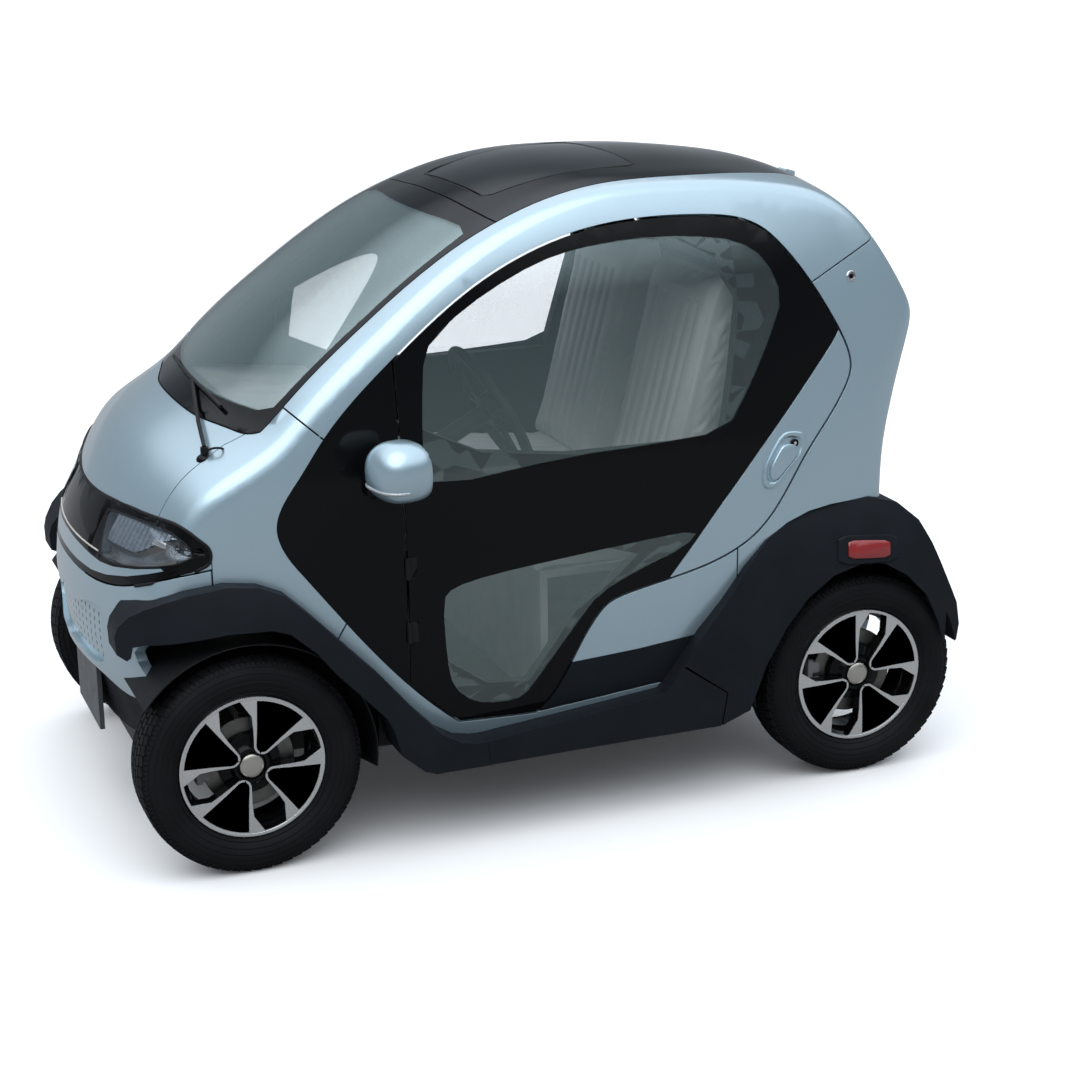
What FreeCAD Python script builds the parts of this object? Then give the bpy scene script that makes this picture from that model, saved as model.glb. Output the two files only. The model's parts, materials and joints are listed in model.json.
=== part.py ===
"""Two-seat electric microcar, an assembly of separate panels, wheels, doors and running gear.

Frame: +X forward, +Y to the car's left, +Z up, origin on the ground under the middle of the car.
All lengths are millimetres. Outline points are shares of the overall length, width and height.
"""
import FreeCAD, Part
import math
import os
from types import SimpleNamespace
from FreeCAD import Placement, Rotation, Vector

SIZES = [
    ("overall_length", 2250),
    ("overall_width", 1380),
    ("overall_height", 1612),
    ("front_axle_x", 800),
    ("rear_axle_x", -840),
    ("half_track", 577),
    ("tyre_radius", 273.5),
    ("tyre_width", 155),
    ("bead_radius", 168),
    ("rim_flange_radius", 184),
    ("rim_half_width", 66),
    ("rim_wall", 6),
    ("spoke_thickness", 26),
    ("hub_radius", 62),
    ("cap_radius", 30),
    ("lug_circle_radius", 57),
    ("lug_radius", 9),
    ("disc_radius", 110),
    ("disc_thickness", 12),
    ("kingpin_y", 560),
    ("kingpin_radius", 14),
    ("axle_radius", 32),
    ("arm_thickness", 30),
    ("motor_radius", 105),
    ("motor_length", 260),
    ("battery_length", 410),
    ("battery_width", 760),
    ("battery_height", 140),
    ("rail_size", 60),
    ("rail_spread", 300),
    ("floor_height", 235),
    ("floor_thickness", 20),
    ("wall_thickness", 40),
    ("roof_thickness", 26),
    ("glass_thickness", 5),
    ("panel_thickness", 14),
    ("shoulder_radius", 60),
    ("panel_gap", 4),
    ("moving_gap", 6),
    ("door_step", 12),
    ("cladding_start", 415),
    ("tyre_gap", 14),
    ("steering_lock", 25),
    ("seat_width", 440),
    ("wheel_ring_radius", 172),
    ("wheel_ring_section", 14),
    ("hinge_radius", 6),
    ("wiper_radius", 5),
    ("overrun", 400),
    ("seat_gap", 0.3),
    ("frame_depth", 26),
    ("seat_spread", 265),
    ("wheel_hub_radius", 45),
    ("wheel_hub_depth", 40),
    ("column_radius", 24),
    ("column_length", 380),
    ("mirror_depth", 100),
    ("mirror_width", 170),
    ("mirror_height", 148),
    ("stalk_radius", 16),
    ("wiper_lift", 14),
    ("pin_depth", 56),
    ("pin_rise", 21),
    ("pin_radius", 10),
    ("leaf_length", 24),
    ("beam_half_width", 360),
    ("wheel_spoke_radius", 8.4),
    ("disc_gap", 26),
    ("arm_drop", 90),
    ("plate_width", 290),
    ("plate_height", 172),
    ("plate_thickness", 12),
    ("lid_hinge_spread", 300),
    ("plate_screw_spacing", 178),
    ("plate_screw_radius", 3.5),
    ("grille_pitch", 33),
    ("grille_rise", 21),
    ("grille_hole_width", 8),
    ("grille_hole_height", 14),
]

document = FreeCAD.newDocument("microcar")
sheet = document.addObject("Spreadsheet::Sheet", "sizes")
for row, (alias, value) in enumerate(SIZES, 1):
    sheet.set("A%d" % row, alias)
    sheet.set("B%d" % row, str(value))
    sheet.setAlias("B%d" % row, alias)
document.recompute()
S = SimpleNamespace(**{alias: float(getattr(sheet, alias)) for alias, value in SIZES})
UP = Vector(0, 0, 1)
LEFT = Vector(0, 1, 0)
FORWARD = Vector(1, 0, 0)
ORIGIN = Vector(0, 0, 0)
FAR = S.overall_length

# Body surface tables, shares of the overall sizes
profile_shares = [
    (0.4711, 0.0993, 0.5244), (0.4778, 0.1855, 0.5244), (0.4938, 0.2785, 0.5106),
    (0.4964, 0.3722, 0.4968), (0.4916, 0.4293, 0.4968), (0.4804, 0.4808, 0.4968),
    (0.4627, 0.5261, 0.483), (0.4409, 0.572, 0.4278), (0.4133, 0.6117, 0.3726), (0.3853, 0.6365, 0.3312),
    (0.3542, 0.6551, 0.3036), (0.3107, 0.7022, 0.276), (0.2591, 0.7636, 0.2553),
    (0.2142, 0.8083, 0.2346), (0.1529, 0.8666, 0.2139), (0.0907, 0.9181, 0.207), (0.04, 0.9498, 0.207),
    (-0.024, 0.9789, 0.2139), (-0.0902, 0.995, 0.2208), (-0.1556, 0.9981, 0.2277),
    (-0.2213, 0.9957, 0.2346), (-0.2884, 0.987, 0.2346), (-0.3489, 0.9721, 0.2622),
    (-0.4036, 0.9355, 0.3174), (-0.4404, 0.8871, 0.3864), (-0.4738, 0.8294, 0.4416),
    (-0.4964, 0.7692, 0.4692), (-0.4969, 0.7258, 0.4692), (-0.4871, 0.6774, 0.4692),
    (-0.4747, 0.6234, 0.4692), (-0.4636, 0.5608, 0.4692), (-0.4573, 0.4969, 0.4692),
    (-0.4587, 0.4336, 0.4692), (-0.46, 0.3102, 0.4692), (-0.4596, 0.0993, 0.4692),
]
side_level_shares = [
    (0.031, 0.4167), (0.0931, 0.4348), (0.1551, 0.4507), (0.2792, 0.4696), (0.4032, 0.4761),
    (0.5273, 0.4696), (0.6514, 0.4507), (0.7754, 0.4203), (0.8685, 0.3877), (0.9305, 0.3587),
    (0.9926, 0.3225), (1.067, 0.2717),
]
side_station_shares = [
    (-0.5556, 0.74), (-0.4889, 0.85), (-0.4222, 0.925), (-0.3111, 0.985), (-0.1333, 1), (0.0444, 0.995),
    (0.1778, 0.978), (0.3111, 0.94), (0.4, 0.885), (0.4667, 0.81), (0.5333, 0.69),
]
flare_level_shares = [
    (0.062, 0.4928), (0.1241, 0.4971), (0.2171, 0.5), (0.3102, 0.4993), (0.3722, 0.4928),
    (0.4218, 0.4797), (0.4591, 0.4638), (0.4963, 0.442), (0.5583, 0.4058),
]
flare_station_shares = [
    (-0.5556, 0.86), (-0.4978, 0.945), (-0.4356, 0.985), (-0.3111, 1), (0, 0.995), (0.3111, 1),
    (0.3778, 0.985), (0.4222, 0.945), (0.4533, 0.86), (0.48, 0.68), (0.4978, 0.48), (0.5556, 0.3),
]
opening_shares = [
    (0.12, 0.1892), (0.1756, 0.2599), (0.2436, 0.3716), (0.288, 0.4529), (0.3093, 0.5), (0.3129, 0.5267),
    (0.3067, 0.5552), (0.2876, 0.5937), (0.2578, 0.6501), (0.1796, 0.7537), (0.0858, 0.8474),
    (-0.0071, 0.9038), (-0.0667, 0.9225), (-0.1333, 0.9299), (-0.1996, 0.9274), (-0.2422, 0.9181),
    (-0.2667, 0.9014), (-0.2849, 0.8778), (-0.3124, 0.8288), (-0.3427, 0.7599), (-0.3578, 0.7165),
    (-0.3622, 0.6824), (-0.3516, 0.6483), (-0.2964, 0.5533), (-0.2547, 0.4702), (-0.2311, 0.4373),
    (-0.204, 0.4144), (-0.1627, 0.3939), (-0.0738, 0.3672), (-0.0511, 0.3548), (-0.0391, 0.3381),
    (-0.0102, 0.2692), (0.0311, 0.1867),
]
shut_line_share = 0.1778
silver_shares = [
    (0.5778, 0.397), (0.3111, 0.397), (0.2667, 0.3474), (0.2129, 0.273), (0.1738, 0.2047),
    (0.1467, 0.1706), (0.1262, 0.1458), (-0.1111, 0.1799), (-0.1333, 0.1861), (-0.16, 0.2605),
    (-0.2222, 0.3598), (-0.2667, 0.4218), (-0.3111, 0.4467), (-0.5778, 0.4467), (-0.5778, 1.1166),
    (0.5778, 1.1166),
]
front_zone_shares = [
    (0.2564, 0.3474), (0.244, 0.3772), (0.2756, 0.4963), (0.2667, 0.5893), (0.2578, 0.6501),
    (0.2884, 0.6892), (0.3556, 0.7754), (0.5778, 0.7754), (0.5778, 0.062), (0.2667, 0.062),
]
rear_zone_shares = [
    (-0.3067, 0.8065), (-0.3196, 0.8164), (-0.3596, 0.8418), (-0.4013, 0.8672), (-0.5778, 0.9739),
    (-0.5778, 0.062), (-0.2089, 0.062), (-0.2089, 0.5583), (-0.2667, 0.7444),
]
low_zone_shares = [
    (0.0533, 0.188), (0.0311, 0.188), (-0.1333, 0.2109), (-0.2089, 0.2233), (-0.2089, 0.4653),
    (0.0222, 0.4653),
]
hinge_share = 0.4678
low_split_shares = [
    (0.0889, 0.2556), (-0.0093, 0.2649), (-0.0911, 0.2723), (-0.1613, 0.2829), (-0.2667, 0.2947),
    (-0.2667, 0.1241), (0.0889, 0.1241),
]
crown_shares = [
    (0.3622, 0), (0.3591, 0.113), (0.3542, 0.1681), (0.3444, 0.2304), (0.3347, 0.2884), (0.3267, 0.3297),
    (0.3142, 0.3601), (0.2884, 0.3594), (0.2493, 0.3551), (0.2084, 0.3478), (0.1476, 0.3362),
    (0.0867, 0.3246), (0.0378, 0.3145), (-0.0378, 0.3007), (-0.1333, 0.2913), (-0.2222, 0.279),
    (-0.2889, 0.2522), (-0.3422, 0.2196), (-0.3711, 0.1942), (-0.3778, 0.1087), (-0.38, 0),
]
sunroof_shares = [
    (0.0222, 0), (0.0204, 0.163), (0.0111, 0.1812), (-0.1467, 0.1971), (-0.1609, 0.1775), (-0.1644, 0),
]
hood_shares = [
    (0.5333, 0), (0.5333, 0.3275), (0.4227, 0.3275), (0.3778, 0.3232), (0.348, 0.3174), (0.328, 0.3304),
    (0.32, 0.3043), (0.3289, 0.2174), (0.3378, 0.087), (0.34, 0),
]
lamp_shares = [
    (0, 0.5273), (0.1449, 0.5316), (0.2899, 0.531), (0.3623, 0.5223), (0.4094, 0.5037), (0.4348, 0.4839),
    (0.4167, 0.4665), (0.3768, 0.4516), (0.3101, 0.433), (0.2174, 0.4206), (0.1087, 0.4175), (0, 0.4187),
]
lamp_start_share = 0.3831
headlamp_shares = [
    (0.1558, 0.518), (0.2493, 0.5199), (0.3261, 0.5186), (0.3768, 0.5087), (0.4043, 0.4944),
    (0.4101, 0.4851), (0.3949, 0.4783), (0.3551, 0.4708), (0.287, 0.4622), (0.2087, 0.4584),
    (0.1522, 0.4584),
]
bumper_shares = [
    (0, 0.4963), (0.4493, 0.4963), (0.4493, 0.4342), (0.4058, 0.3846), (0.3464, 0.3387),
    (0.3536, 0.3257), (0.3913, 0.2897), (0.3841, 0.2761), (0.3609, 0.2636), (0.3275, 0.2581),
    (0.2855, 0.255), (0.2058, 0.2655), (0.1333, 0.2692), (0, 0.2711),
]
bumper_recess_shares = [
    (0, 0.3722), (0.1565, 0.3759), (0.2217, 0.3772), (0.2406, 0.3697), (0.2319, 0.33), (0.2174, 0.2928),
    (0.192, 0.2835), (0.1058, 0.2804), (0, 0.2804),
]
lower_bumper_shares = [
    (0, 0.3102), (0.2609, 0.3102), (0.308, 0.2481), (0.3007, 0.1985), (0.2609, 0.1737), (0.1812, 0.1687),
    (0, 0.1687),
]
rear_bumper_shares = [
    (0, 0.4963), (0.3406, 0.4963), (0.3514, 0.4467), (0.3514, 0.3846), (0.3406, 0.2233),
    (0.3043, 0.1799), (0, 0.1737),
]
header_shares = [
    (0.0458, 0), (0.0444, 0.1087), (0.0431, 0.1826), (0.04, 0.2797), (0.0356, 0.3333), (0.0333, 0.4348),
    (0.5778, 0.4348), (0.5778, 0),
]
hatch_shares = [
    (0, 0.9677), (0.1449, 0.9615), (0.1942, 0.9442), (0.2428, 0.8809), (0.2899, 0.794), (0.3116, 0.7258),
    (0.308, 0.6203), (0.2899, 0.5335), (0.2681, 0.518), (0, 0.5149),
]
hatch_start_share = -0.3831
hatch_window_shares = [
    (0, 0.9119), (0.1449, 0.9069), (0.1884, 0.8685), (0.2355, 0.794), (0.2536, 0.7258), (0.2428, 0.6328),
    (0, 0.6328),
]
tail_lamp_shares = [
    (0.2174, 0.9305), (0.25, 0.9305), (0.3043, 0.8685), (0.2899, 0.8623),
]
front_cladding_shares = [
    (0.4818, 0.3449), (0.4827, 0.371), (0.4796, 0.3865), (0.4689, 0.4063), (0.4551, 0.42),
    (0.4356, 0.433), (0.4142, 0.4429), (0.3742, 0.4522), (0.34, 0.4479), (0.3133, 0.4324),
    (0.2911, 0.4032), (0.2173, 0.2953), (0.1778, 0.2295), (0.1511, 0.1898), (0.1289, 0.1706),
    (0.1093, 0.165), (0.0978, 0.165), (0.0942, 0.1259), (0.1573, 0.1259), (0.1707, 0.1328),
    (0.1969, 0.165), (0.2044, 0.2047), (0.2111, 0.2264), (0.24, 0.2705), (0.2667, 0.3102),
    (0.2853, 0.3443), (0.3124, 0.3778), (0.3307, 0.3859), (0.3769, 0.3871), (0.4191, 0.3784),
    (0.4578, 0.3685), (0.4676, 0.3623), (0.4702, 0.3449), (0.4738, 0.3393),
]
sill_shares = [
    (0.0976, 0.165), (-0.1147, 0.1998), (-0.1378, 0.2388), (-0.1911, 0.1861), (-0.1849, 0.1309),
    (0.094, 0.1259),
]
rear_fender_shares = [
    (-0.1164, 0.2013), (-0.1618, 0.2903), (-0.1889, 0.3344), (-0.216, 0.3852), (-0.2436, 0.4243),
    (-0.2716, 0.4485), (-0.3, 0.4622), (-0.3293, 0.4677), (-0.3822, 0.4696), (-0.4169, 0.4566),
    (-0.4436, 0.4249), (-0.4604, 0.3846), (-0.4782, 0.3325), (-0.4987, 0.2748), (-0.5044, 0.2351),
    (-0.5009, 0.2084), (-0.4867, 0.1998), (-0.4791, 0.2109), (-0.4702, 0.2475), (-0.4507, 0.3009),
    (-0.4227, 0.34), (-0.3929, 0.3641), (-0.3662, 0.3703), (-0.3262, 0.3567), (-0.2924, 0.3257),
    (-0.2649, 0.2823), (-0.24, 0.2227), (-0.2267, 0.1725), (-0.2209, 0.1507), (-0.1867, 0.1321),
    (-0.1924, 0.1867), (-0.1389, 0.2413),
]
strap_shares = [
    (-0.3644, 0.7692), (-0.3418, 0.7252), (-0.2929, 0.652), (-0.2387, 0.5695), (-0.1844, 0.4833),
    (-0.1498, 0.4243), (-0.12, 0.3741), (-0.1222, 0.3412), (-0.4222, 0.3412), (-0.4222, 0.7692),
]
upper_window_shares = [
    (0.1453, 0.7605), (0.0867, 0.8325), (0.0356, 0.8654), (-0.0218, 0.8908), (-0.1044, 0.9001),
    (-0.16, 0.8964), (-0.2, 0.8685), (-0.2267, 0.8002), (-0.2089, 0.6824), (-0.1942, 0.5924),
    (-0.0111, 0.5943), (0.0889, 0.611), (0.16, 0.6576), (0.1653, 0.6948),
]
lower_window_shares = [
    (0.0889, 0.2481), (0.1333, 0.2916), (0.1467, 0.3474), (0.1333, 0.4094), (0.0444, 0.4342),
    (-0.0444, 0.4467), (-0.0889, 0.428), (-0.0578, 0.3908), (-0.0133, 0.3474), (0.0178, 0.2854),
    (0.04, 0.2419),
]

beyond_share = 0.54
above_share = 1.05
section_reach_share = 0.55
reach_share = 0.6
column_foot_share = 0.45
column_top_share = 1.15
near_share = 0.001
flat_run_shares = (1 / 3, 2 / 3, 1)
shoulder_run_shares = (0.25, 0.5, 0.75, 1)
flare_run_shares = (0.3, 0.6)
station_count = 12
level_count = 12
place_count = 44
waist_share = 0.4
rear_bumper_start_share = -0.35
hatch_foot_share = 0.5
header_bar_shares = (0.02, 0.06)
door_hinge_shares = (0.3, 0.5)
door_barrel_shares = ((0.16, 0.32), (0.66, 0.82))
hatch_barrel_shares = ((0.2, 0.32), (0.68, 0.8))
shoulder_crease = 10
lid_barrel_shares = ((0, 0.16), (0.84, 1))
seat_base_shares = (-0.2044, 0.0000)
seat_height_share = 0.3846
cushion_shares = [
    (-0.2222, 0.3846), (0.0089, 0.3846), (0.02, 0.4063), (0.02, 0.4435), (0.0044, 0.4684),
    (-0.0356, 0.4653), (-0.1467, 0.4516), (-0.2222, 0.4516),
]
back_shares = [
    (-0.1533, 0.4516), (-0.2178, 0.794), (-0.2333, 0.8344), (-0.2556, 0.8344), (-0.26, 0.794),
    (-0.2222, 0.4516),
]
dash_shares = [
    (0.1333, 0.4839), (0.12, 0.5769), (0.1467, 0.611), (0.2933, 0.6328), (0.3067, 0.6017),
    (0.2933, 0.4963), (0.2022, 0.447), (0.16, 0.447),
]
dash_half_share = 0.3623
steering_wheel_shares = (0.0200, 0.6203)
steering_tilt = 28
steering_spoke_angles = (90, 180, 270)
mirror_shares = (0.2067, 0.5797, 0.6203)
stalk_shares = (0.2222, 0.4348, 0.5769)
pivot_shares = (0.3684, 0.3116)
elbow_shares = (0.3609, 0.2174)
bend_share = 1.06
blade_shares = [
    (0.3342, 0.2101), (0.3369, 0.1203), (0.3382, 0.0101), (0.3356, -0.1058), (0.328, -0.2174),
]
floor_half_share = 0.3913
cross_member_shares = (0.1333, -0.2000)
nose_cross_share = 0.4133
post_share = 0.4444
post_top_share = 0.4963
beam_foot_share = 0.3102
beam_top_share = 0.5087
bulkhead_share = -0.2422
firewall_share = 0.2022
firewall_top_share = 0.4467
shelf_share = 0.3846
shelf_end_share = -0.4578
battery_share = -0.1022
grille_foot_share = 0.2953
grille_columns = 8
grille_rows = 6
hole_outline_shares = ((0, 0.5), (0.35, 0.35), (0.5, 0), (0.35, -0.35),
                       (0, -0.5), (-0.35, -0.35), (-0.5, 0), (-0.35, 0.35))
crown_curves = [(0, 6), (7, 17), (23, 33), (34, 40)]
lamp_curves = [(0, 11), (11, 22)]
headlamp_curves = [(0, 9)]
recess_curves = [(0, 8), (8, 16)]
bumper_curves = [(8, 13), (13, 18)]
sweep_angles = (6, 12, 20, 30)
space_shoulder_share = 0.9
space_crown_share = 0.72
tyre_side_shares = [(0, 0), (0.17, 0), (0.35, 0.75), (0.55, 1), (0.75, 0.9),
                    (0.9, 0.45), (0.985, -0.15), (1, -0.6)]
large_window_angle = 45
large_window_shares = [(-6, 0.02), (6, 0.02), (21, 0.86), (12, 0.99), (-12, 0.99), (-21, 0.86)]
small_window_angle = 0
small_window_shares = [(-7, 0.35), (7, 0.35), (11, 0.7), (8, 0.97), (-8, 0.97), (-11, 0.7)]
plate_front_share = 0.4782
plate_foot_share = 0.1445


def x_of(share):
    return share * S.overall_length


def y_of(share):
    return share * S.overall_width


def z_of(share):
    return share * S.overall_height


def smooth(knots, values):
    """Return a function that runs smoothly through the values at the knots."""
    spans = [b - a for a, b in zip(knots, knots[1:])]
    rises = [(b - a) / span for a, b, span in zip(values, values[1:], spans)]
    slopes = [rises[0]]
    for left, right, span, after in zip(rises, rises[1:], spans, spans[1:]):
        slopes.append((left * after + right * span) / (span + after))
    slopes.append(rises[-1])

    def value_at(place):
        index = 0
        while index < len(spans) - 1 and place > knots[index + 1]:
            index += 1
        part = (place - knots[index]) / spans[index]
        start, end = values[index], values[index + 1]
        bend_in, bend_out = slopes[index] * spans[index], slopes[index + 1] * spans[index]
        cube, square = part ** 3, part ** 2
        return (start * (2 * cube - 3 * square + 1) + bend_in * (cube - 2 * square + part)
                + end * (3 * square - 2 * cube) + bend_out * (cube - square))

    return value_at


def curve_through(points, places):
    curve = Part.BSplineCurve()
    curve.interpolate(Points=points, Parameters=places)
    return curve


def chord_places(points):
    """Parameters from 0 to 1 along a row of points, by the distance between them."""
    places = [0]
    for a, b in zip(points, points[1:]):
        places.append(places[-1] + (b - a).Length)
    return [place / places[-1] for place in places]


def surface_through(rows):
    """Smooth face through a grid of points."""
    across = chord_places(rows[len(rows) // 2])
    along = steps(0, 1, len(rows) - 1)
    row_curves = [curve_through(row, across) for row in rows]
    columns = list(zip(*[curve.getPoles() for curve in row_curves]))
    column_curves = [curve_through(list(column), along) for column in columns]
    poles = list(zip(*[curve.getPoles() for curve in column_curves]))
    first_row, first_column = row_curves[0], column_curves[0]
    surface = Part.BSplineSurface()
    surface.buildFromPolesMultsKnots(
        [list(row) for row in poles], first_column.getMultiplicities(), first_row.getMultiplicities(),
        first_column.getKnots(), first_row.getKnots(), False, False, 3, 3)
    return surface.toShape()


def steps(first, last, count):
    return [first + (last - first) * index / count for index in range(count + 1)]


def one(shape):
    """Return the shape as one solid where it holds one, and clean of seams."""
    solids = shape.Solids
    return solids[0] if len(solids) == 1 else Part.makeCompound(solids)


def keep_faces(shape, test):
    """Return the faces of a flat shape whose centre passes a test."""
    return Part.makeCompound([face for face in shape.Faces if test(face.CenterOfMass)])


def largest(shape):
    return max(shape.Solids, key=lambda solid: solid.Volume)


def mirrored(shape):
    return shape.mirror(ORIGIN, LEFT)


def both_sides(shape):
    return Part.makeCompound(shape.Solids + mirrored(shape).Solids)


# Body surfaces

class Table:
    """Half width of the car as a product of a level table and a station table."""

    def __init__(self, level_shares, station_shares):
        self.level = smooth([z_of(z) for z, w in level_shares], [y_of(w) for z, w in level_shares])
        self.station = smooth([x_of(x) for x, w in station_shares], [w for x, w in station_shares])

    def half_width(self, x, z):
        return self.level(z) * self.station(x)


side_table = Table(side_level_shares, side_station_shares)
flare_table = Table(flare_level_shares, flare_station_shares)
travel = [0]
for (x0, z0, c0), (x1, z1, c1) in zip(profile_shares, profile_shares[1:]):
    travel.append(travel[-1] + math.hypot(x_of(x1 - x0), z_of(z1 - z0)))
profile_x = smooth(travel, [x_of(x) for x, z, c in profile_shares])
profile_z = smooth(travel, [z_of(z) for x, z, c in profile_shares])
profile_crown = smooth(travel, [c / S.overall_width for x, z, c in profile_shares])


def crown_point(place, y, depth):
    """Point of the swept top surface, at a place along the profile and a depth under the skin."""
    near = travel[-1] * near_share
    before, after = max(0, place - near), min(travel[-1], place + near)
    run, rise = profile_x(after) - profile_x(before), profile_z(after) - profile_z(before)
    length = math.hypot(run, rise)
    drop = profile_crown(place) * y * y + depth
    return Vector(profile_x(place) - rise / length * drop, y, profile_z(place) + run / length * drop)


def side_body(table, depth, low, high):
    """Solid between the two side surfaces, a depth under the skin."""
    stations = steps(-x_of(beyond_share), x_of(beyond_share), station_count)
    rows = [[Vector(x, table.half_width(x, z) - depth, z) for z in steps(low, high, level_count)] for x in stations]
    half = surface_through(rows).extrude(LEFT * -FAR)
    return half.common(mirrored(half))


def edge_between(shape, start, end):
    for edge in shape.Edges:
        ends = {tuple(round(c) for c in vertex.Point) for vertex in edge.Vertexes}
        if ends == {tuple(round(c) for c in start), tuple(round(c) for c in end)}:
            return edge
    raise ValueError("no such edge")


def inward(place):
    """Unit direction from the profile into the body."""
    near = travel[-1] * near_share
    before, after = max(0, place - near), min(travel[-1], place + near)
    run, rise = profile_x(after) - profile_x(before), profile_z(after) - profile_z(before)
    return Vector(-rise, 0, run).normalize()


def section(place, depth, reach):
    """Points across the top surface: crown, rounded shoulder, and a flare outside the sides."""
    base = Vector(profile_x(place), 0, profile_z(place))
    normal = inward(place)
    crown = profile_crown(place)

    def at(y, drop):
        return base + normal * (drop + depth) + LEFT * y

    def side_width(point):
        return side_table.half_width(point.x, point.z) - depth

    y = reach
    for attempt in range(12):
        y = side_width(at(y, crown * y * y))
    corner = at(y, crown * y * y)
    lean = math.atan((side_width(corner + normal * S.panel_thickness) - y) / S.panel_thickness)
    radius = S.shoulder_radius - depth
    start = y - radius * math.tan((math.pi / 2 - lean - math.atan(2 * crown * y)) / 2)
    heading = math.atan(2 * crown * start)
    turn = math.pi / 2 - lean - heading - math.radians(shoulder_crease)
    half = [(start * share, crown * (start * share) ** 2) for share in flat_run_shares]
    for share in shoulder_run_shares:
        angle = heading + turn * share
        half.append((start + radius * (math.sin(angle) - math.sin(heading)),
                     half[2][1] + radius * (math.cos(heading) - math.cos(angle))))
    last_y, last_drop = half[-1]
    for share in flare_run_shares:
        half.append((last_y + radius * share * math.cos(heading + turn),
                     last_drop + radius * share * math.sin(heading + turn)))
    half.append((reach, half[2][1]))
    left = [at(y, drop) for y, drop in half]
    right = [at(-y, drop) for y, drop in reversed(half)]
    return right + [at(0, 0)] + left


def body_under(depth):
    """Solid of the whole body, a depth under its skin, with its shoulders rounded."""
    side = side_body(side_table, depth, z_of(side_level_shares[0][0]), z_of(above_share))
    reach = y_of(section_reach_share)
    if depth < S.shoulder_radius / 2:
        rows = [section(place, depth, reach) for place in steps(0, travel[-1], place_count)]
    else:
        rows = [[crown_point(place, y, depth) for y in steps(-reach, reach, len(flat_run_shares) + 1)]
                for place in steps(0, travel[-1], place_count)]
    rows[0] = [point - UP * depth for point in rows[0]]
    rows[-1] = [point - UP * depth for point in rows[-1]]
    top = surface_through(rows)
    near_edge = edge_between(top, rows[0][0], rows[-1][0])
    far_edge = edge_between(top, rows[0][-1], rows[-1][-1])
    front_edge = edge_between(top, rows[0][0], rows[0][-1])
    rear_edge = edge_between(top, rows[-1][0], rows[-1][-1])
    faces = [top, Part.makeRuledSurface(front_edge, rear_edge)]
    for edge in (near_edge, far_edge):
        ends = [vertex.Point for vertex in edge.Vertexes]
        faces.append(Part.Face(Part.Wire([edge, Part.makeLine(ends[1], ends[0])])))
    shell = Part.makeShell(faces)
    shell.sewShape()
    under = Part.makeSolid(shell)
    if under.Volume < 0:
        under.reverse()
    return side.common(under)


bodies = {}


def body(depth):
    if depth not in bodies:
        bodies[depth] = body_under(depth)
    return bodies[depth]


# Outlines and prisms

def placed(shares, plane):
    """Points of an outline as (across, up) pairs in millimetres."""
    scales = {"xz": (x_of, z_of), "xy": (x_of, y_of), "yz": (y_of, z_of)}[plane]
    return [(scales[0](a), scales[1](b)) for a, b in shares]


def grown(points, amount):
    """Move a closed outline outwards by an amount, or inwards where it is negative."""
    area = sum(a[0] * b[1] - b[0] * a[1] for a, b in zip(points, points[1:] + points[:1]))
    turn = 1 if area > 0 else -1
    result = []
    for before, here, after in zip(points[-1:] + points[:-1], points, points[1:] + points[:1]):
        normals = []
        for a, b in ((before, here), (here, after)):
            run, rise = b[0] - a[0], b[1] - a[1]
            length = math.hypot(run, rise)
            normals.append((turn * rise / length, -turn * run / length))
        mean = (normals[0][0] + normals[1][0], normals[0][1] + normals[1][1])
        scale = 2 * amount / (mean[0] ** 2 + mean[1] ** 2)
        result.append((here[0] + mean[0] * scale, here[1] + mean[1] * scale))
    return result


def prism(points, plane, low, high, curves=()):
    """Extrude a closed outline. Each pair in curves names the first and last point of a smooth run."""
    lift = {"xz": lambda p: Vector(p[0], low, p[1]), "xy": lambda p: Vector(p[0], p[1], low),
            "yz": lambda p: Vector(low, p[0], p[1])}[plane]
    along = {"xz": LEFT, "xy": UP, "yz": FORWARD}[plane] * (high - low)
    corners = [lift(p) for p in points]
    edges = []
    index = 0
    starts = dict(curves)
    while index < len(corners):
        last = starts.get(index, index + 1)
        run = [corners[k % len(corners)] for k in range(index, last + 1)]
        if len(run) > 2:
            curve = Part.BSplineCurve()
            curve.interpolate(run)
            edges.append(curve.toShape())
        else:
            edges.append(Part.makeLine(run[0], run[1]))
        index = last
    face = Part.Face(Part.Wire(edges))
    return face.extrude(along) if high > low else face


def two_sided(shares):
    """Close an outline that is given for the left half, from front to rear, on the right half."""
    return shares + [(a, -b) for a, b in reversed(shares) if b]


def top_prism(shares, grow=0, curves=()):
    return prism(grown(placed(two_sided(shares), "xy"), grow), "xy", z_of(column_foot_share),
                 z_of(column_top_share), curves)


def across(shares):
    """Close a rear or front outline, given for the left half, on the right half."""
    return shares + [(-a, b) for a, b in reversed(shares) if a]


def end_prism(shares, low, high, grow=0, curves=()):
    return prism(grown(placed(across(shares), "yz"), grow), "yz", low, high, curves)


def block(x0, x1, y0, y1, z0, z1):
    return Part.makeBox(x1 - x0, y1 - y0, z1 - z0, Vector(x0, y0, z0))


def rod(start, end, radius):
    return Part.makeCylinder(radius, (end - start).Length, start, end - start)


reach_y = y_of(reach_share)
half_panel = S.panel_gap / 2
half_moving = S.moving_gap / 2
parts = {}


def node(name, shape):
    parts[name] = shape
    feature = document.addObject("Part::Feature", name)
    feature.Label = name
    feature.Shape = one(shape)
    feature.Placement = shape.Placement


# Silver panels of the side

def side_face(shares, grow=0, curves=()):
    return prism(grown(placed(shares, "xz"), grow), "xz", 0, 0, curves)


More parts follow.
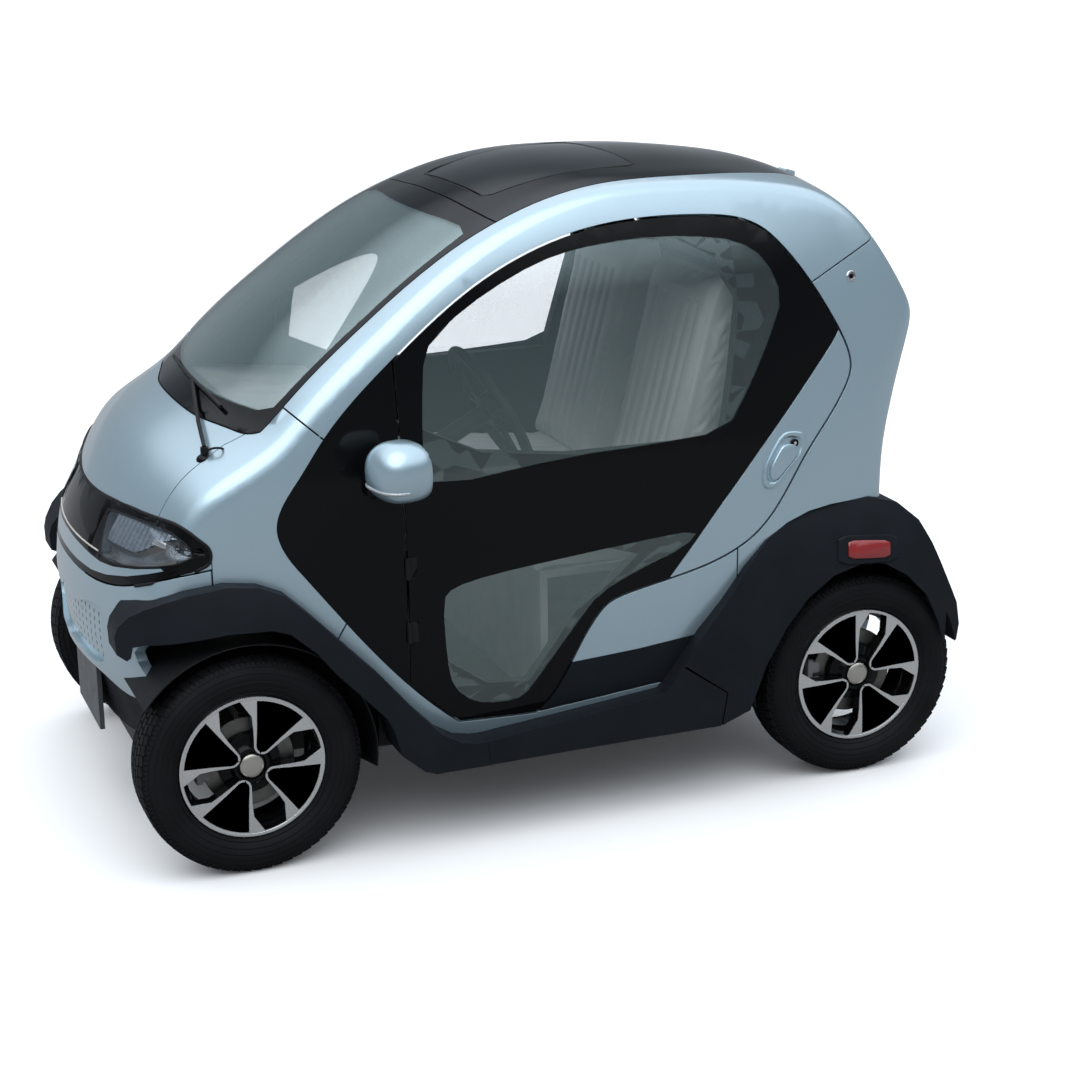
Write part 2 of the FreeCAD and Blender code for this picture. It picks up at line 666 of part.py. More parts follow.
left_half = block(-FAR, FAR, 0, FAR, -FAR, FAR)
left_body = body(0).common(left_half)
opening_curve = [(0, len(opening_shares) - 1)]
opening = side_face(opening_shares, half_moving, opening_curve)
silver = side_face(silver_shares, -half_panel)
crown_cut = top_prism(crown_shares, half_panel, crown_curves)
hood_cut = top_prism(hood_shares, half_panel)
lamp_start = x_of(lamp_start_share)
lamp_cut = end_prism(lamp_shares, lamp_start, FAR, half_panel, lamp_curves)
bumper_zone = block(lamp_start - half_panel, FAR, -FAR, FAR, -FAR, z_of(lamp_shares[5][1]))
hatch_start = x_of(hatch_start_share)
hatch_cut = end_prism(hatch_shares, -FAR, hatch_start, half_moving)


def side_panel(face, tools):
    panel = left_body.common(face.extrude(LEFT * reach_y))
    for tool in tools + (body(S.wall_thickness),):
        panel = panel.cut(tool)
    return one(panel)


def flat(shares, plane, grow=0, curves=()):
    return prism(grown(placed(shares, plane), grow), plane, 0, 0, curves)


front_cladding_face = side_face(front_cladding_shares)
rear_fender_face = side_face(rear_fender_shares)
skin = silver.cut(opening)
for shares in (front_cladding_shares, sill_shares, rear_fender_shares):
    skin = skin.cut(side_face(shares, S.seat_gap))
front_zone = side_face(front_zone_shares, -half_panel)
rear_zone = side_face(rear_zone_shares, -half_panel)
low_zone = side_face(low_zone_shares, -half_panel)
front_zone_out = side_face(front_zone_shares, half_panel)
rear_zone_out = side_face(rear_zone_shares, half_panel)
low_zone_out = side_face(low_zone_shares, half_panel)
low_split = side_face(low_split_shares)
tail_cut = prism(grown(placed(tail_lamp_shares, "yz"), half_panel), "yz", -FAR, hatch_start)
rear_bumper_cut = end_prism(rear_bumper_shares, -FAR, x_of(rear_bumper_start_share), S.seat_gap)

node("front_fenders", both_sides(largest(side_panel(skin.common(front_zone),
                                                    (crown_cut, hood_cut, lamp_cut, bumper_zone)))))
quarter = side_panel(skin.common(rear_zone), (crown_cut, hatch_cut, tail_cut, rear_bumper_cut))
node("rear_quarters", both_sides(largest(quarter)))
lower = skin.common(low_zone).cut(rear_zone_out)
node("lower_side_panels", both_sides(largest(side_panel(lower.cut(low_split), ()))))
node("lower_black_panels", both_sides(largest(side_panel(lower.common(low_split), ()))))
frame_rest = skin.cut(front_zone_out).cut(rear_zone_out).cut(low_zone_out)
middle_z = z_of(waist_share)
rail_face = keep_faces(frame_rest, lambda p: p.z > middle_z)
rail = largest(side_panel(rail_face, (crown_cut, tail_cut, hatch_cut)))
strip_face = keep_faces(frame_rest, lambda p: p.z < middle_z)
node("sill_strips", both_sides(largest(side_panel(strip_face, ()))))


# Room the front tyre needs between its steering locks

def revolved(points):
    """Solid turned about the Y axis from a closed outline of (radius, offset) pairs."""
    corners = [Vector(radius, offset, 0) for radius, offset in points]
    return Part.Face(Part.makePolygon(corners + corners[:1])).revolve(ORIGIN, LEFT, 360)


space_half = S.tyre_width / 2 + S.moving_gap
space_radius = S.tyre_radius + S.moving_gap
tyre_space = revolved([(0, -space_half), (space_radius * space_shoulder_share, -space_half),
                       (space_radius, -space_half * space_crown_share), (space_radius, space_half * space_crown_share),
                       (space_radius * space_shoulder_share, space_half), (0, space_half)])
tyre_space.translate(Vector(S.front_axle_x, S.half_track, S.tyre_radius))
turned_spaces = []
for lock in steps(-S.steering_lock, S.steering_lock, 8):
    turned_space = tyre_space.copy()
    turned_space.rotate(Vector(S.front_axle_x, S.kingpin_y, 0), UP, lock)
    turned_spaces.append(turned_space)
steering_space = turned_spaces[0].fuse(turned_spaces[1:])


# Black claddings over the wheels and along the sills

def cladding(face):
    solid = face.extrude(LEFT * reach_y).common(flare_body).cut(body(S.wall_thickness))
    return largest(solid.common(outer_half))


flare_low = z_of(flare_level_shares[0][0])
flare_body = side_body(flare_table, 0, flare_low, z_of(flare_level_shares[-1][0]))
outer_half = block(-FAR, FAR, S.cladding_start, FAR, -FAR, FAR)
front_cladding = largest(cladding(front_cladding_face).cut(steering_space))
sill_rest = side_face(sill_shares, -S.seat_gap).cut(front_cladding_face).cut(rear_fender_face)
well_side = S.half_track + S.tyre_width / 2 + S.moving_gap
wheel_well = rod(Vector(S.rear_axle_x, 0, S.tyre_radius), Vector(S.rear_axle_x, well_side, S.tyre_radius),
                 S.tyre_radius + S.tyre_gap)
rear_fender = largest(cladding(rear_fender_face).cut(wheel_well))
node("front_claddings", both_sides(front_cladding))
node("sill_claddings", both_sides(cladding(sill_rest)))
node("rear_fenders", both_sides(rear_fender))


def skin_height(x, y):
    """Height of the outer skin on the roof side at a place in plan."""
    line = Part.makeLine(Vector(x, y, z_of(column_foot_share)), Vector(x, y, z_of(column_top_share)))
    return body(0).common(line).BoundBox.ZMax


def above_skin(x_share, y_share, lift):
    """Point over the front glass or hood at a place in plan."""
    x, y = x_of(x_share), y_of(y_share)
    return Vector(x, y, skin_height(x, y) + lift)


# Nose: hood, lamp band, headlamps, bumpers

hood = body(0).common(top_prism(hood_shares, -half_panel))
pivot = above_skin(*pivot_shares, 0)
pin_foot = pivot - UP * S.pin_depth
pin_top = pivot + UP * S.pin_rise
pin = rod(pin_foot, pin_top, S.pin_radius)
pin_hole = rod(pin_foot, pin_top, S.pin_radius + S.seat_gap)
for tool in (lamp_cut, bumper_zone, body(S.panel_thickness), crown_cut, pin_hole):
    hood = hood.cut(tool)
node("hood", largest(hood))
band = body(0).common(end_prism(lamp_shares, lamp_start, FAR, -half_panel, lamp_curves)).cut(body(S.wall_thickness))
pocket = prism(placed(headlamp_shares, "yz"), "yz", lamp_start, FAR, headlamp_curves)
lamps = both_sides(body(0).common(pocket).cut(body(S.roof_thickness)))
node("headlamps", lamps)
node("lamp_band", largest(band.cut(lamps)))
cladding_room = side_face(front_cladding_shares, S.seat_gap)
cladding_room.translate(LEFT * (S.cladding_start - S.seat_gap))
cladding_room = cladding_room.extrude(LEFT * reach_y)
front_tools = [cladding_room, mirrored(cladding_room), steering_space, mirrored(steering_space)]
bumper = body(0).common(end_prism(bumper_shares, lamp_start + half_panel, FAR, 0, bumper_curves)).cut(lamp_cut)
bumper = bumper.cut(body(S.roof_thickness)).cut(front_tools)
recess = end_prism(bumper_recess_shares, lamp_start, FAR, 0, recess_curves)
node("front_bumper", largest(bumper.cut(recess)))
grille_face = flat(across(bumper_recess_shares), "yz", -S.seat_gap, recess_curves)
holes = []
for column in range(-grille_columns, grille_columns + 1):
    for row in range(grille_rows):
        hole_y = column * S.grille_pitch
        hole_z = z_of(grille_foot_share) + row * S.grille_rise
        holes.append(prism([(hole_y + y * S.grille_hole_width, hole_z + z * S.grille_hole_height)
                            for y, z in hole_outline_shares], "yz", 0, 0))
grille = body(S.panel_thickness).common(grille_face.cut(holes).extrude(FORWARD * FAR))
node("grille_panel", largest(grille.cut(body(S.roof_thickness))))
lower_bumper = body(S.roof_thickness).common(end_prism(lower_bumper_shares, lamp_start, FAR))
lower_bumper = lower_bumper.cut(body(S.wall_thickness + S.frame_depth)).cut(front_tools)
node("lower_bumper", largest(lower_bumper))
plate_front = x_of(plate_front_share)
plate_foot = z_of(plate_foot_share)
plate = block(plate_front - S.plate_thickness, plate_front, -S.plate_width / 2, S.plate_width / 2,
              plate_foot, plate_foot + S.plate_height).cut(lower_bumper)
for side in (-1, 1):
    screw = Vector(plate_front - S.overrun, side * S.plate_screw_spacing / 2, plate_foot + S.plate_height / 2)
    plate = plate.cut(rod(screw, screw + FORWARD * S.overrun * 2, S.plate_screw_radius))
node("plate_bracket", largest(plate))


# Glass and roof

crown_face = flat(two_sided(crown_shares), "xy", -half_panel, crown_curves)
glass_zone = flat(two_sided(header_shares), "xy", -half_panel)
roof_zone = flat(two_sided(header_shares), "xy", half_panel)
hood_zone = flat(two_sided(hood_shares), "xy", -half_panel)
lift = UP * z_of(column_foot_share)


def raised(face):
    """Tall column over a flat face in plan."""
    column = face.copy()
    column.translate(lift)
    return column.extrude(UP * S.overall_height)


def top_panel(face, depth):
    return largest(body(0).common(raised(face)).cut(body(depth)))


node("windshield", largest(top_panel(crown_face.common(glass_zone), S.glass_thickness).cut(pin_hole)))
sunroof_hole = flat(two_sided(sunroof_shares), "xy", half_moving)
roof = top_panel(crown_face.cut(roof_zone).cut(sunroof_hole), S.roof_thickness)
sunroof = top_panel(flat(two_sided(sunroof_shares), "xy", -half_moving), S.panel_thickness)


# Hinge barrels, each in a groove of the panel that carries it

def barrels(start, end, share_pairs):
    """Short rods along a hinge line, between pairs of shares of its length."""
    line = end - start
    return [(start + line * a, start + line * b) for a, b in share_pairs]


def rods(pairs, radius):
    return Part.makeCompound([rod(a, b, radius) for a, b in pairs])


groove_radius = S.hinge_radius + S.seat_gap


# Sunroof lid, hinged at its front edge

lid_x = x_of(sunroof_shares[0][0])
lid_hinge_y = S.lid_hinge_spread / 2
lid_z = skin_height(lid_x, lid_hinge_y) - S.hinge_radius
lid_line = (Vector(lid_x, -lid_hinge_y, lid_z), Vector(lid_x, lid_hinge_y, lid_z))
lid_barrels = barrels(*lid_line, lid_barrel_shares)
lid_leaves = [block(lid_x - S.hinge_radius * 2, lid_x, a.y, b.y, lid_z - S.hinge_radius / 2, lid_z + S.hinge_radius / 2)
              for a, b in lid_barrels]
node("sunroof", largest(sunroof.fuse([rod(a, b, S.hinge_radius) for a, b in lid_barrels] + lid_leaves)))
for start, end in lid_barrels:
    roof = roof.cut(rod(start, end, groove_radius))


# Doors

shut_x = x_of(shut_line_share)


def side_rectangle(x0, x1):
    corners = [(x0, 0), (x1, 0), (x1, FAR), (x0, FAR)]
    return prism(corners, "xz", 0, 0)


door_side = side_rectangle(-FAR, shut_x - half_moving)
door_side_inner = side_rectangle(-FAR, shut_x - half_moving - S.door_step)
quarter_side = side_rectangle(shut_x + half_moving, FAR)
door_face = side_face(opening_shares, -half_moving, opening_curve).common(door_side)
inner_face = side_face(opening_shares, -half_moving - S.door_step, opening_curve).common(door_side_inner)
strap_face = door_face.common(side_face(strap_shares))
glass_face = door_face.cut(side_face(strap_shares, half_panel))


def side_layer(face, outer, inner):
    column = face.extrude(LEFT * reach_y)
    return column.common(body(outer)).cut(body(inner))


door_glass = largest(side_layer(glass_face, 0, S.glass_thickness))
door_strap = largest(side_layer(strap_face, 0, S.panel_thickness))
windows = [side_face(upper_window_shares), side_face(lower_window_shares)]
inner_rest = inner_face
for window in windows:
    inner_rest = inner_rest.cut(window)
door_frame = largest(side_layer(inner_rest, S.glass_thickness, S.wall_thickness).cut(door_strap))
hinge_y = y_of(hinge_share)
hinge_line = [Vector(shut_x, hinge_y, z_of(share)) for share in door_hinge_shares]
door_barrels = barrels(*hinge_line, door_barrel_shares)
leaf_width = S.door_step + S.hinge_radius * 2
leaves = [block(shut_x - leaf_width, shut_x, hinge_y - S.panel_thickness, hinge_y - S.hinge_radius / 2, a.z, b.z)
          for a, b in door_barrels]
hinged_frame = door_frame.fuse([rod(a, b, S.hinge_radius) for a, b in door_barrels] + leaves)
door_glass = door_glass.cut(leaves + [rods(door_barrels, groove_radius)])
front_quarter = side_layer(side_face(opening_shares, half_moving - S.seat_gap, opening_curve)
                           .common(quarter_side), 0, S.roof_thickness).cut(rods(door_barrels, groove_radius))
for side, turn in (("left", lambda shape: shape), ("right", mirrored)):
    node("door_frame_" + side, turn(largest(hinged_frame)))
    node("door_glass_" + side, turn(largest(door_glass)))
    node("door_strap_" + side, turn(door_strap))
node("front_quarters", both_sides(largest(front_quarter)))


# Rear hatch, its window and hinge, and the tail lamps

hatch_body = body(0).common(end_prism(hatch_shares, -FAR, hatch_start - S.moving_gap, -half_moving))
hatch_body = hatch_body.common(block(-FAR, 0, -FAR, FAR, z_of(hatch_foot_share), FAR))
hatch_window_prism = end_prism(hatch_window_shares, -FAR, hatch_start)
hatch = hatch_body.cut(body(S.roof_thickness)).cut(hatch_window_prism)
hatch_glass = body(0).common(end_prism(hatch_window_shares, -FAR, hatch_start, -S.seat_gap)) \
    .cut(body(S.glass_thickness))
hinge_x = hatch_start - half_moving
hinge_z = skin_height(hinge_x, 0)
hatch_line = (Vector(hinge_x, -y_of(hatch_shares[1][0]), hinge_z), Vector(hinge_x, y_of(hatch_shares[1][0]), hinge_z))
hatch_barrels = barrels(*hatch_line, hatch_barrel_shares)
hatch_leaves = [block(hinge_x - S.leaf_length, hinge_x, a.y, b.y, hinge_z - S.panel_thickness, hinge_z)
                for a, b in hatch_barrels]
hatch = largest(hatch).fuse([rod(a, b, S.hinge_radius) for a, b in hatch_barrels] + hatch_leaves)
node("rear_hatch", largest(hatch))
node("hatch_glass", largest(hatch_glass))
hatch_grooves = rods(hatch_barrels, groove_radius)
for start, end in hatch_barrels:
    roof = roof.cut(rod(start, end, groove_radius))
hatch_room = body(0).common(end_prism(hatch_shares, -FAR, hatch_start, half_moving)).cut(body(S.roof_thickness))
for angle in sweep_angles:
    swept_room = hatch_room.copy()
    swept_room.rotate(hatch_line[0], LEFT, angle)
    rail = rail.cut(swept_room)
node("roof_rails", both_sides(largest(rail.cut(hatch_grooves))))
node("roof_panel", largest(roof))
tail = prism(placed(tail_lamp_shares, "yz"), "yz", -FAR, hatch_start)
node("tail_lamps", both_sides(largest(body(0).common(tail).cut(body(S.wall_thickness)))))
rear_bumper = body(0).common(end_prism(rear_bumper_shares, -FAR, x_of(rear_bumper_start_share)))
rear_bumper = rear_bumper.cut(body(S.wall_thickness))
fender_room = side_face(rear_fender_shares, S.seat_gap)
fender_room.translate(LEFT * (S.cladding_start - S.seat_gap))
fender_room = fender_room.extrude(LEFT * reach_y)
node("rear_bumper", largest(rear_bumper.cut([hatch_cut, fender_room, mirrored(fender_room)])))


# Frame inside the panels

def ring_face(shares, plane, outer, inner, curves=()):
    return flat(shares, plane, outer, curves).cut(flat(shares, plane, inner, curves))


door_ring = ring_face(opening_shares, "xz", S.wall_thickness, half_moving, opening_curve)
door_hoop = largest(side_layer(door_ring, S.wall_thickness, S.wall_thickness + S.frame_depth))
crown_ring = ring_face(two_sided(crown_shares), "xy", half_panel, -S.wall_thickness, crown_curves)
crown_rest = body(S.roof_thickness).common(raised(crown_ring)).cut(body(S.wall_thickness + S.frame_depth))
bar_rear, bar_front = (x_of(share) for share in header_bar_shares)
header_bar = prism([(bar_rear, -FAR), (bar_front, -FAR), (bar_front, FAR), (bar_rear, FAR)], "xy", 0, 0)
header_bar = header_bar.common(crown_face)
header_bar = body(S.roof_thickness).common(raised(header_bar))
header_bar = header_bar.cut(body(S.wall_thickness + S.frame_depth))
glass_ring = crown_ring.common(glass_zone)
glass_seat = body(S.glass_thickness).common(raised(glass_ring)).cut(body(S.roof_thickness))
hood_ring = ring_face(two_sided(crown_shares), "xy", S.wall_thickness, half_panel, crown_curves).common(hood_zone)
hood_seat = body(S.panel_thickness).common(raised(hood_ring)).cut(body(S.wall_thickness + S.frame_depth))
door_hoop = largest(door_hoop.cut(front_cladding))
hoops = [door_hoop, mirrored(door_hoop)]
node("cabin_frame", Part.makeCompound(hoops))
node("roof_frame", largest(crown_rest.fuse([header_bar, glass_seat, hood_seat]).cut(hoops)))


# Chassis: rails, cross members, front structure, floor

rail_top = S.floor_height
rail_foot = rail_top - S.rail_size
inner_body = body(S.wall_thickness)
rails = [block(-FAR / 2, FAR / 2, y - S.rail_size / 2, y + S.rail_size / 2, rail_foot, rail_top)
         for y in (-S.rail_spread, S.rail_spread)]
floor_half = y_of(floor_half_share)
crosses = [block(x_of(x) - S.rail_size / 2, x_of(x) + S.rail_size / 2, -floor_half, floor_half, rail_foot, rail_top)
           for x in cross_member_shares]
nose_cross = block(x_of(nose_cross_share), x_of(nose_cross_share) + S.rail_size, -S.rail_spread, S.rail_spread,
                   rail_foot, rail_top)
posts = [block(x_of(post_share) - S.rail_size / 2, x_of(post_share) + S.rail_size / 2, y - S.rail_size / 2,
               y + S.rail_size / 2, rail_top - S.rail_size / 2, z_of(post_top_share))
         for y in (-S.rail_spread, S.rail_spread)]
chassis = rails[0].fuse([rails[1], nose_cross] + crosses + posts).common(inner_body)
beam_front = body(S.wall_thickness).cut(body(S.wall_thickness + S.frame_depth))
beam = beam_front.common(block(x_of(nose_cross_share), FAR, -S.beam_half_width, S.beam_half_width,
                               z_of(beam_foot_share), z_of(beam_top_share)))
chassis = chassis.fuse(largest(beam))
node("chassis_frame", largest(chassis.cut(lower_bumper)))

wall = S.floor_thickness
floor = block(x_of(bulkhead_share), x_of(firewall_share), -floor_half, floor_half, rail_top, rail_top + wall)
firewall = block(x_of(firewall_share) - wall, x_of(firewall_share), -floor_half, floor_half, rail_top,
                 z_of(firewall_top_share))
bulkhead = block(x_of(bulkhead_share), x_of(bulkhead_share) + wall, -floor_half, floor_half, rail_top,
                 z_of(shelf_share))
shelf = block(x_of(shelf_end_share), x_of(bulkhead_share) + wall, -floor_half, floor_half, z_of(shelf_share) - wall,
              z_of(shelf_share))
tub = floor.fuse([firewall, bulkhead, shelf]).common(body(S.wall_thickness + S.frame_depth))
node("floor_tub", largest(tub))


def bound_box(name, length, width, height, x, y, z):
    """A box whose sizes follow cells of the sheet, centred on x and y and standing on z."""
    feature = document.addObject("Part::Box", name)
    feature.Label = name
    for prop, cell in (("Length", length), ("Width", width), ("Height", height)):
        feature.setExpression(prop, "sizes." + cell)
    corner = Vector(x - getattr(S, length) / 2, y - getattr(S, width) / 2, z)
    feature.Placement = Placement(corner, Rotation())
    parts[name] = feature


battery_x = x_of(battery_share)
bound_box("battery_block", "battery_length", "battery_width", "battery_height", battery_x, 0, rail_top + wall)


# Wheels, axles and steering

def tyre():
    half = S.tyre_width / 2
    bead_half = S.rim_half_width - S.rim_wall
    section_height = S.tyre_radius - S.bead_radius
    side = [(S.bead_radius + section_height * rise, bead_half + (half - bead_half) * out)
            for rise, out in tyre_side_shares]
    return revolved(side + [(radius, -offset) for radius, offset in reversed(side)])


def rim():
    barrel_radius = S.bead_radius - S.seat_gap
    outer, wall, half = S.rim_flange_radius, S.rim_wall, S.rim_half_width
    inside = half - wall + S.seat_gap
    barrel = revolved([(barrel_radius - wall, -half), (outer, -half), (outer, -inside), (barrel_radius, -inside),
                       (barrel_radius, inside), (outer, inside), (outer, half), (barrel_radius - wall, half)])
    face_back = half - wall - S.spoke_thickness
    face = Part.makeCylinder(barrel_radius - wall / 2, S.spoke_thickness, LEFT * face_back, LEFT)
    holes = []
    for quarter in range(4):
        for start, shares in ((large_window_angle, large_window_shares), (small_window_angle, small_window_shares)):
            corners = []
            for turn, reach in shares:
                angle = math.radians(start + 90 * quarter + turn)
                radius = S.hub_radius + (barrel_radius - wall - S.hub_radius) * reach
                corners.append((radius * math.cos(angle), radius * math.sin(angle)))
            holes.append(prism(corners, "xz", face_back - wall, half + wall))
    face = face.cut(holes)
    cap = Part.makeCylinder(S.cap_radius, S.spoke_thickness, LEFT * (half - S.spoke_thickness), LEFT)
    lugs = []
    for quarter in range(4):
        angle = math.radians(large_window_angle + 90 * quarter)
        centre = Vector(math.cos(angle), 0, math.sin(angle)) * S.lug_circle_radius
        lugs.append(Part.makeCylinder(S.lug_radius, S.spoke_thickness, centre + LEFT * face_back, LEFT))
    disc = Part.makeCylinder(S.disc_radius, S.disc_thickness, LEFT * (face_back - S.disc_gap), LEFT)
    hat = Part.makeCylinder(S.hub_radius, S.disc_gap, LEFT * (face_back - S.disc_gap), LEFT)
    return barrel.fuse([face, cap, disc, hat] + lugs)


def knuckle(stub_start):
    """Upright behind the brake disc: kingpin post, stub axle and caliper."""
    post = rod(Vector(0, S.kingpin_y, S.tyre_radius - S.arm_drop), Vector(0, S.kingpin_y, S.tyre_radius + S.arm_drop),
               S.kingpin_radius)
    stub = rod(Vector(0, S.kingpin_y, S.tyre_radius), Vector(0, stub_start, S.tyre_radius), S.axle_radius)
    return post.fuse(stub)


wheel_tyre, wheel_rim = tyre(), rim()
front_x, rear_x = S.front_axle_x, S.rear_axle_x
disc_back = S.half_track + S.rim_half_width - S.rim_wall - S.spoke_thickness - S.disc_gap
stub_start = disc_back - S.seat_gap
for end, x in (("front", front_x), ("rear", rear_x)):
    for side, turn in (("left", lambda shape: shape), ("right", mirrored)):
        for name, shape in (("tyre", wheel_tyre), ("rim", wheel_rim)):
            placed_shape = shape.copy()
            placed_shape.translate(Vector(x, S.half_track, S.tyre_radius))
            node("%s_%s_%s" % (name, end, side), turn(placed_shape))
upright = knuckle(stub_start)
upright.translate(Vector(front_x, 0, 0))
for side, turn in (("left", lambda shape: shape), ("right", mirrored)):
    node("knuckle_" + side, turn(upright))

arm_low = S.tyre_radius - S.arm_drop - S.arm_thickness - S.seat_gap
arm_high = S.tyre_radius + S.arm_drop + S.seat_gap
arms = []
arm_half = S.arm_thickness / 2
for z in (arm_low, arm_high):
    for y in (-1, 1):
        ends = sorted((y * (S.rail_spread + S.rail_size / 2), y * (S.kingpin_y + S.kingpin_radius)))
        arms.append(block(front_x - arm_half, front_x + arm_half, ends[0], ends[1], z, z + S.arm_thickness))
tower = [block(front_x - S.arm_thickness, front_x + S.arm_thickness, y - S.rail_size / 2, y + S.rail_size / 2,
               rail_top, arm_high + S.arm_thickness) for y in (-S.rail_spread, S.rail_spread)]
node("front_suspension", tower[0].fuse([tower[1]] + arms + [
    block(front_x - S.arm_thickness, front_x + S.arm_thickness, -S.rail_spread, S.rail_spread, arm_high,
          arm_high + S.arm_thickness)]))
axle = rod(Vector(rear_x, -stub_start, S.tyre_radius), Vector(rear_x, stub_start, S.tyre_radius), S.axle_radius)
motor_half = S.motor_length / 2
links = [block(rear_x, x_of(bulkhead_share) , y - S.rail_size / 2, y + S.rail_size / 2, rail_top + S.seat_gap,
               rail_top + S.rail_size) for y in (-S.rail_spread, S.rail_spread)]
motor = document.addObject("Part::Cylinder", "motor_block")
motor.Label = "motor_block"
motor.setExpression("Radius", "sizes.motor_radius")
motor.setExpression("Height", "sizes.motor_length")
motor.Placement = Placement(Vector(rear_x, motor_half, S.tyre_radius), Rotation(FORWARD, 90))
parts["motor_block"] = motor
motor_space = Part.makeCylinder(S.motor_radius, S.motor_length, Vector(rear_x, -motor_half, S.tyre_radius), LEFT)
node("rear_axle", axle.cut(motor_space).fuse(links))


# Cabin: seats, dashboard, steering wheel

seat_base_z = rail_top + wall
node("seat_base", block(x_of(seat_base_shares[0]), x_of(seat_base_shares[1]), -S.seat_spread - S.seat_width / 2,
                        S.seat_spread + S.seat_width / 2, seat_base_z, z_of(seat_height_share))
     .cut(block(x_of(seat_base_shares[0]) + wall, x_of(seat_base_shares[1]) - wall, -FAR, FAR, 0,
                z_of(seat_height_share) - wall)))
cushion = prism(placed(cushion_shares, "xz"), "xz", S.seat_spread - S.seat_width / 2 + S.seat_gap,
                S.seat_spread + S.seat_width / 2 - S.seat_gap)
cushion.translate(UP * S.seat_gap)
back = prism(placed(back_shares, "xz"), "xz", S.seat_spread - S.seat_width / 2 + S.panel_thickness,
             S.seat_spread + S.seat_width / 2 - S.panel_thickness)
back.translate(UP * S.seat_gap * 2)
node("seat_cushions", both_sides(cushion))
node("seat_backs", both_sides(back))
dash = prism(placed(dash_shares, "xz"), "xz", -y_of(dash_half_share), y_of(dash_half_share))
dash = largest(dash.common(body(S.wall_thickness + S.frame_depth)))
node("dashboard", dash)
wheel_centre = Vector(x_of(steering_wheel_shares[0]), S.seat_spread, z_of(steering_wheel_shares[1]))
tilt = math.radians(steering_tilt)
to_dash = Vector(math.cos(tilt), 0, -math.sin(tilt))
ring = Part.makeTorus(S.wheel_ring_radius, S.wheel_ring_section, ORIGIN, FORWARD)
spokes = [rod(ORIGIN, Vector(0, math.sin(math.radians(a)), math.cos(math.radians(a))) * S.wheel_ring_radius,
              S.wheel_spoke_radius) for a in steering_spoke_angles]
boss = Part.makeCylinder(S.wheel_hub_radius, S.wheel_hub_depth, FORWARD * (-S.wheel_hub_depth / 2), FORWARD)
steering = ring.fuse(spokes + [boss])
steering.rotate(ORIGIN, LEFT, steering_tilt)
steering.translate(wheel_centre)
node("steering_wheel", steering)
column_start = wheel_centre + to_dash * (S.wheel_hub_depth / 2 + S.seat_gap)
column = rod(column_start, column_start + to_dash * S.column_length, S.column_radius).cut(dash)
node("steering_column", largest(column))


# Mirrors and wiper

head = Part.makeSphere(S.mirror_depth / 2)
stretch = FreeCAD.Matrix()
stretch.scale(1, S.mirror_width / S.mirror_depth, S.mirror_height / S.mirror_depth)
head = head.transformGeometry(stretch)
head_centre = Vector(x_of(mirror_shares[0]), y_of(mirror_shares[1]), z_of(mirror_shares[2]))
head.translate(head_centre)
stalk_foot = Vector(x_of(stalk_shares[0]), y_of(stalk_shares[1]), z_of(stalk_shares[2]))
stalk = rod(stalk_foot, head_centre - UP * S.mirror_height / 3, S.stalk_radius).cut(left_body)
mirror = largest(head.fuse(largest(stalk)))
node("mirrors", both_sides(mirror))


def bent_rod(points, radius):
    """Rods through a row of points, with a slightly thicker ball at each bend."""
    pieces = [rod(a, b, radius) for a, b in zip(points, points[1:])]
    return pieces[0].fuse(pieces[1:] + [Part.makeSphere(radius * bend_share, point) for point in points[1:-1]])


elbow = above_skin(*elbow_shares, S.pin_rise)
blade_points = [above_skin(*shares, S.wiper_lift) for shares in blade_shares]
clip = blade_points[len(blade_points) // 2]
arm = bent_rod([pin_top, elbow, clip], S.wiper_radius)
wiper = arm.fuse([pin, bent_rod(blade_points, S.wiper_radius)]).cut(body(S.panel_thickness))
node("wiper", largest(wiper))


# Check and write

document.recompute()
os.makedirs("parts", exist_ok=True)
for name in parts:
    piece = document.getObject(name)
    if {"Invalid", "Error"} & set(piece.State):
        raise ValueError("failed object " + name)
    if piece.Shape.isNull() or not piece.Shape.isValid() or not piece.Shape.Solids:
        raise ValueError("bad shape " + name)
    piece.Shape.exportStep("parts/" + piece.Label + ".step")
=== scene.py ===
"""Finish and detail of the two-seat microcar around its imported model."""
import json
import math

import bmesh
import bpy
from mathutils import Matrix, Vector
from mathutils.bvhtree import BVHTree


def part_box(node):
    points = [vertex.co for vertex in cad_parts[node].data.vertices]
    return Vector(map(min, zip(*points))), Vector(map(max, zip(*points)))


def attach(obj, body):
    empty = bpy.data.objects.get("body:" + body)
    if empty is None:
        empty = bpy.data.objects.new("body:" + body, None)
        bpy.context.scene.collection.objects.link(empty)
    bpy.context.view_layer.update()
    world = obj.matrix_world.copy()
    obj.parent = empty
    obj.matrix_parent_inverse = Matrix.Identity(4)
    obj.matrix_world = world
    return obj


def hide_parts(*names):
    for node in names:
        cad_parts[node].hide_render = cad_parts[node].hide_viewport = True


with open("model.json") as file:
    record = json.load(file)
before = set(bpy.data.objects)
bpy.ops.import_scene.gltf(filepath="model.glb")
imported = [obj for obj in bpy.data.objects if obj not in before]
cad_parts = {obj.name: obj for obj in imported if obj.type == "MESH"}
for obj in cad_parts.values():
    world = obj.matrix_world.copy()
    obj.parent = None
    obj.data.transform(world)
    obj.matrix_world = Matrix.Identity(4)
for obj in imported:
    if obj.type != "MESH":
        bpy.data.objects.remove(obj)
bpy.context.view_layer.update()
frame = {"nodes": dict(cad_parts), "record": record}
nodes = frame["nodes"]
scene = bpy.context.scene
FORWARD = Vector((1, 0, 0))
LEFT = Vector((0, 1, 0))
UP = Vector((0, 0, 1))
FULL_TURN = 2 * math.pi
SIDES = (("left", 1), ("right", -1))
ENDS = (("front", 0.8), ("rear", -0.84))
